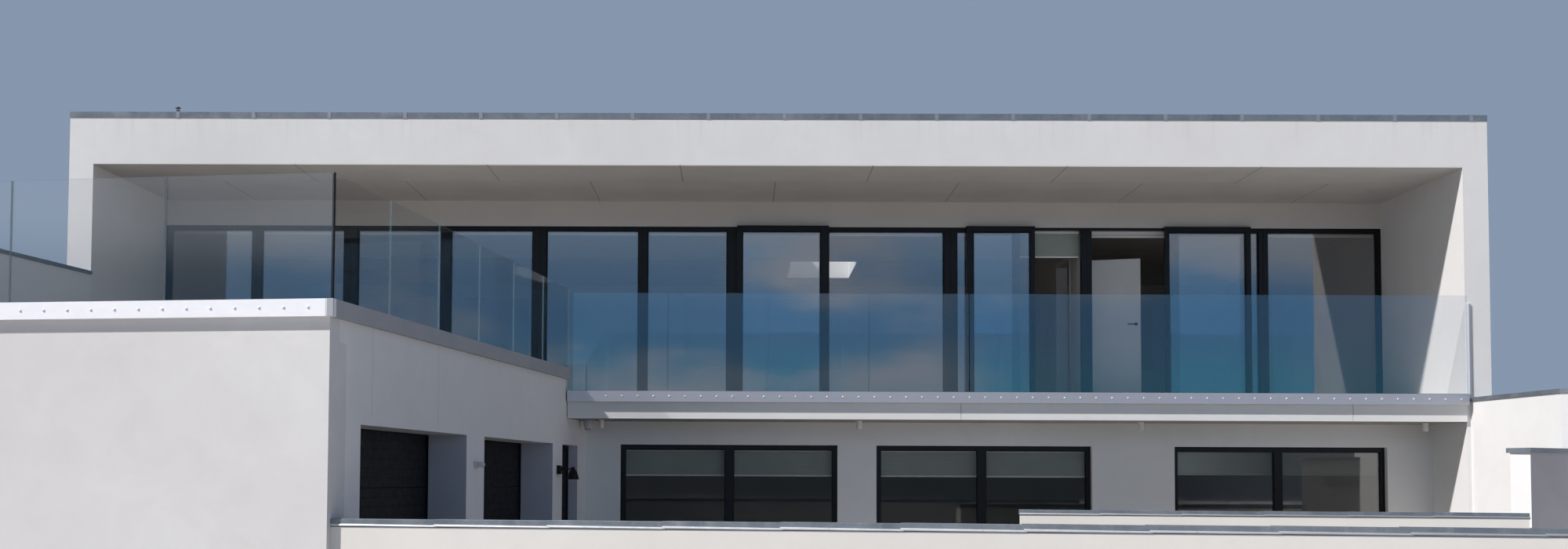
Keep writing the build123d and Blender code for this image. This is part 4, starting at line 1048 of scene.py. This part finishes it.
b.lathe((VX, VY, 6.16), 2, [(0, 0.455), (0.031, 0.457), (0.0340, 0.461), (0.033, 0.466), (0.022, 0.476), (0.008, 0.482), (0, 0.483)], 28)
for k in range(3):
    a = k * 2.094
    x, y = VX + 0.026 * math.cos(a), VY + 0.026 * math.sin(a)
    b.box(x - 0.002, x + 0.002, y - 0.002, y + 0.002, 6.16 + 0.41, 6.16 + 0.452)
b.make("roof_vent_pipe", [VENT], "dark_frame", replaces=["roof_vent"])

# ------------------------------------------------------------------ inside door: levers and casing
LEN, A = 0.86, math.radians(-18.6)
px, py = 5.021 + 0.026, 3.440 - 0.006


def door(u, v, z):
    """u along the leaf from its hinge edge, v across it (towards the terrace is negative)."""
    return house(px + u * math.cos(A) - v * math.sin(A), py + u * math.sin(A) + v * math.cos(A), z)


b = Build(door)
for s in (-1, 1):
    f = s * 0.020
    b.box(LEN - 0.085, LEN - 0.045, f, f + s * 0.006, 4.06, 4.10, 0.003)
    b.tube([(LEN - 0.065, f, 4.08), (LEN - 0.065, f + s * 0.045, 4.08)], 0.009, 12)
    b.tube([(LEN - 0.060, f + s * 0.045, 4.08), (LEN - 0.12, f + s * 0.046, 4.08), (LEN - 0.185, f + s * 0.044, 4.08)], 0.0075, 12)
b.make("inside_door_levers", [DARK], "dark_frame")
b = Build()      # lining and casing round that doorway
for x0, x1 in ((4.860, 4.872), (5.021, 5.033)):
    b.box(x0, x1, 3.370, 3.4385, 2.90, 5.13, 0.003)
    b.box(x0, x1, 4.3615, 4.43, 2.90, 5.13, 0.003)
    b.box(x0, x1, 3.4385, 4.3615, 5.07, 5.13, 0.003)
b.make("inside_door_casing", [DOORPAINT], "white_paint")

# ------------------------------------------------------------------ end post: folded cover over the solid profile; its grey strip right of the light face is painted shade
b = Build()
b.box(9.1765, 9.2150, -0.0196, -0.0176, 2.881, 4.0352, 0.0008)
# painted shade: this grey front strip stands for the shade on the post's right side
b.prism([(9.2162, 2.881), (9.2362, 2.881), (9.2362, 4.022), (9.2280, 4.0352), (9.2162, 4.0352)], 1, -0.0192, -0.0176, 1)
b.box(9.2348, 9.2364, -0.0192, 0.0, 2.881, 4.022, 0.0008, 1)
b.make("end_post_cover", [ALU, FASCIA], "silver_aluminium")

# ------------------------------------------------------------------ stage, light, camera
def stage_floor():
    mesh = bpy.data.meshes.new("stage_floor")
    n, radius = 96, 150.0
    mesh.from_pydata([(radius * math.cos(2 * math.pi * k / n), radius * math.sin(2 * math.pi * k / n), 0) for k in range(n)],
                     [], [tuple(range(n))])
    m = Mat("stage_floor", srgb(174, 170, 164), 0.9)
    m.colour(m.mix(m.remap(m.noise(0.2, 3), 0.3, 0.7, 0.0, 0.08), srgb(176, 172, 170), srgb(150, 146, 140)))
    mesh.materials.append(m.m)
    o = bpy.data.objects.new("stage_floor", mesh)
    o.location.z = -0.002
    bpy.context.scene.collection.objects.link(o)


stage_floor()

w = bpy.data.worlds.new("studio")
bpy.context.scene.world = w
w.use_nodes = True
wn = w.node_tree
bg = wn.nodes["Background"]


def wnode(kind, **props):
    n = wn.nodes.new(kind)
    for k, v in props.items():
        setattr(n, k, v)
    return n


def wramp(value, a, b):
    n = wnode("ShaderNodeMapRange", interpolation_type="SMOOTHSTEP")
    wn.links.new(value, n.inputs["Value"])
    n.inputs["From Min"].default_value, n.inputs["From Max"].default_value = a, b
    return n.outputs["Result"]


def wmix(fac, a, b):
    n = wnode("ShaderNodeMix", data_type="RGBA")
    for socket, value in ((n.inputs[0], fac), (n.inputs[6], a), (n.inputs[7], b)):
        if isinstance(value, bpy.types.NodeSocket):
            wn.links.new(value, socket)
        else:
            socket.default_value = value
    return n.outputs[2]


def wmul(a, b):
    n = wnode("ShaderNodeMath", operation="MULTIPLY")
    wn.links.new(a, n.inputs[0])
    wn.links.new(b, n.inputs[1])
    return n.outputs[0]


wtc = wnode("ShaderNodeTexCoord").outputs["Generated"]
wsep = wnode("ShaderNodeSeparateXYZ")
wn.links.new(wtc, wsep.inputs[0])
wx, wy, wz = wsep.outputs
ZENITH, BACK = (0.13, 0.17, 0.25, 1), (0.24, 0.31, 0.42, 1)
RIGHT, LEFT, FRONT = (0.20, 0.25, 0.36, 1), (0.42, 0.47, 0.56, 1), (0.115, 0.135, 0.17, 1)
BAND_LOW, BAND_MID, BAND_TOP, PATCH = (0.17, 0.64, 0.98, 1), (0.20, 0.52, 0.98, 1), (0.58, 0.86, 1.24, 1), (0.80, 0.90, 1.06, 1)
dome = wmix(wramp(wx, 0.25, 0.85), ZENITH, RIGHT)
dome = wmix(wramp(wx, -0.25, -0.85), dome, LEFT)
dome = wmix(wramp(wy, -0.1, -0.6), dome, FRONT)
dome = wmix(wramp(wy, 0.25, 0.75), dome, BACK)
glow = wmix(wramp(wz, 0.055, 0.10), BAND_LOW, BAND_MID)
glow = wmix(wramp(wz, 0.10, 0.17), glow, BAND_TOP)
wnoise = wnode("ShaderNodeTexNoise")
wmap = wnode("ShaderNodeMapping")
wmap.inputs["Scale"].default_value = (1.0, 1.0, 2.6)
wn.links.new(wtc, wmap.inputs["Vector"])
wn.links.new(wmap.outputs["Vector"], wnoise.inputs["Vector"])
wnoise.inputs["Scale"].default_value = 5.0
wnoise.inputs["Detail"].default_value = 4.0
wnoise.inputs["Roughness"].default_value = 0.5
soft = wramp(wnoise.outputs["Fac"], 0.47, 0.64)
glow = wmix(soft, glow, PATCH)
veil = wmix(wramp(wz, 0.118, 0.155), (0.13, 0.22, 0.34, 1), PATCH)
glow = wmix(wramp(wx, -0.43, -0.54), glow, veil)
band = wmul(wmul(wramp(wz, 0.026, 0.05), wramp(wz, 0.30, 0.17)), wramp(wy, -0.30, -0.65))
dome = wmix(band, dome, glow)
wn.links.new(dome, bg.inputs["Color"])
bg.inputs["Strength"].default_value = 1.0
bpy.context.scene.view_settings.view_transform = "Standard"

sun = bpy.data.lights.new("key_light", "SUN")
sun.energy = 4.72
sun.color = (1.0, 0.962, 0.945)
sun.angle = math.radians(2.0)
so = bpy.data.objects.new("key_light", sun)
az, el = math.radians(60), math.radians(45.7)
s = Vector((-math.sin(az) * math.cos(el), -math.cos(az) * math.cos(el), math.sin(el)))
so.rotation_mode = "QUATERNION"
so.rotation_quaternion = s.to_track_quat("Z", "Y")
bpy.context.scene.collection.objects.link(so)

YAW, PITCH, ROLL, FOCAL = -0.00777, 0.04714, 0.00431, 2014.17
cam = bpy.data.cameras.new("photo_camera")
cam.sensor_width = 36.0
cam.sensor_fit = "HORIZONTAL"
cam.lens = 36.0 * FOCAL / 2000
cam.shift_x, cam.shift_y = 0.0347, 0.085
cam.clip_start, cam.clip_end = 0.1, 2000
co = bpy.data.objects.new("photo_camera", cam)
fwd = Vector((math.sin(YAW) * math.cos(PITCH), math.cos(YAW) * math.cos(PITCH), math.sin(PITCH)))
right = Vector((math.cos(YAW), -math.sin(YAW), 0))
up = right.cross(fwd)
r2 = right * math.cos(ROLL) + up * math.sin(ROLL)
u2 = up * math.cos(ROLL) - right * math.sin(ROLL)
rot = Matrix((r2, u2, -fwd)).transposed().to_4x4()
co.matrix_world = Matrix.Translation(Vector(house(-0.01002, -20.05884, 1.72607))) @ rot
bpy.context.scene.collection.objects.link(co)
bpy.context.scene.camera = co

bpy.context.view_layer.update()
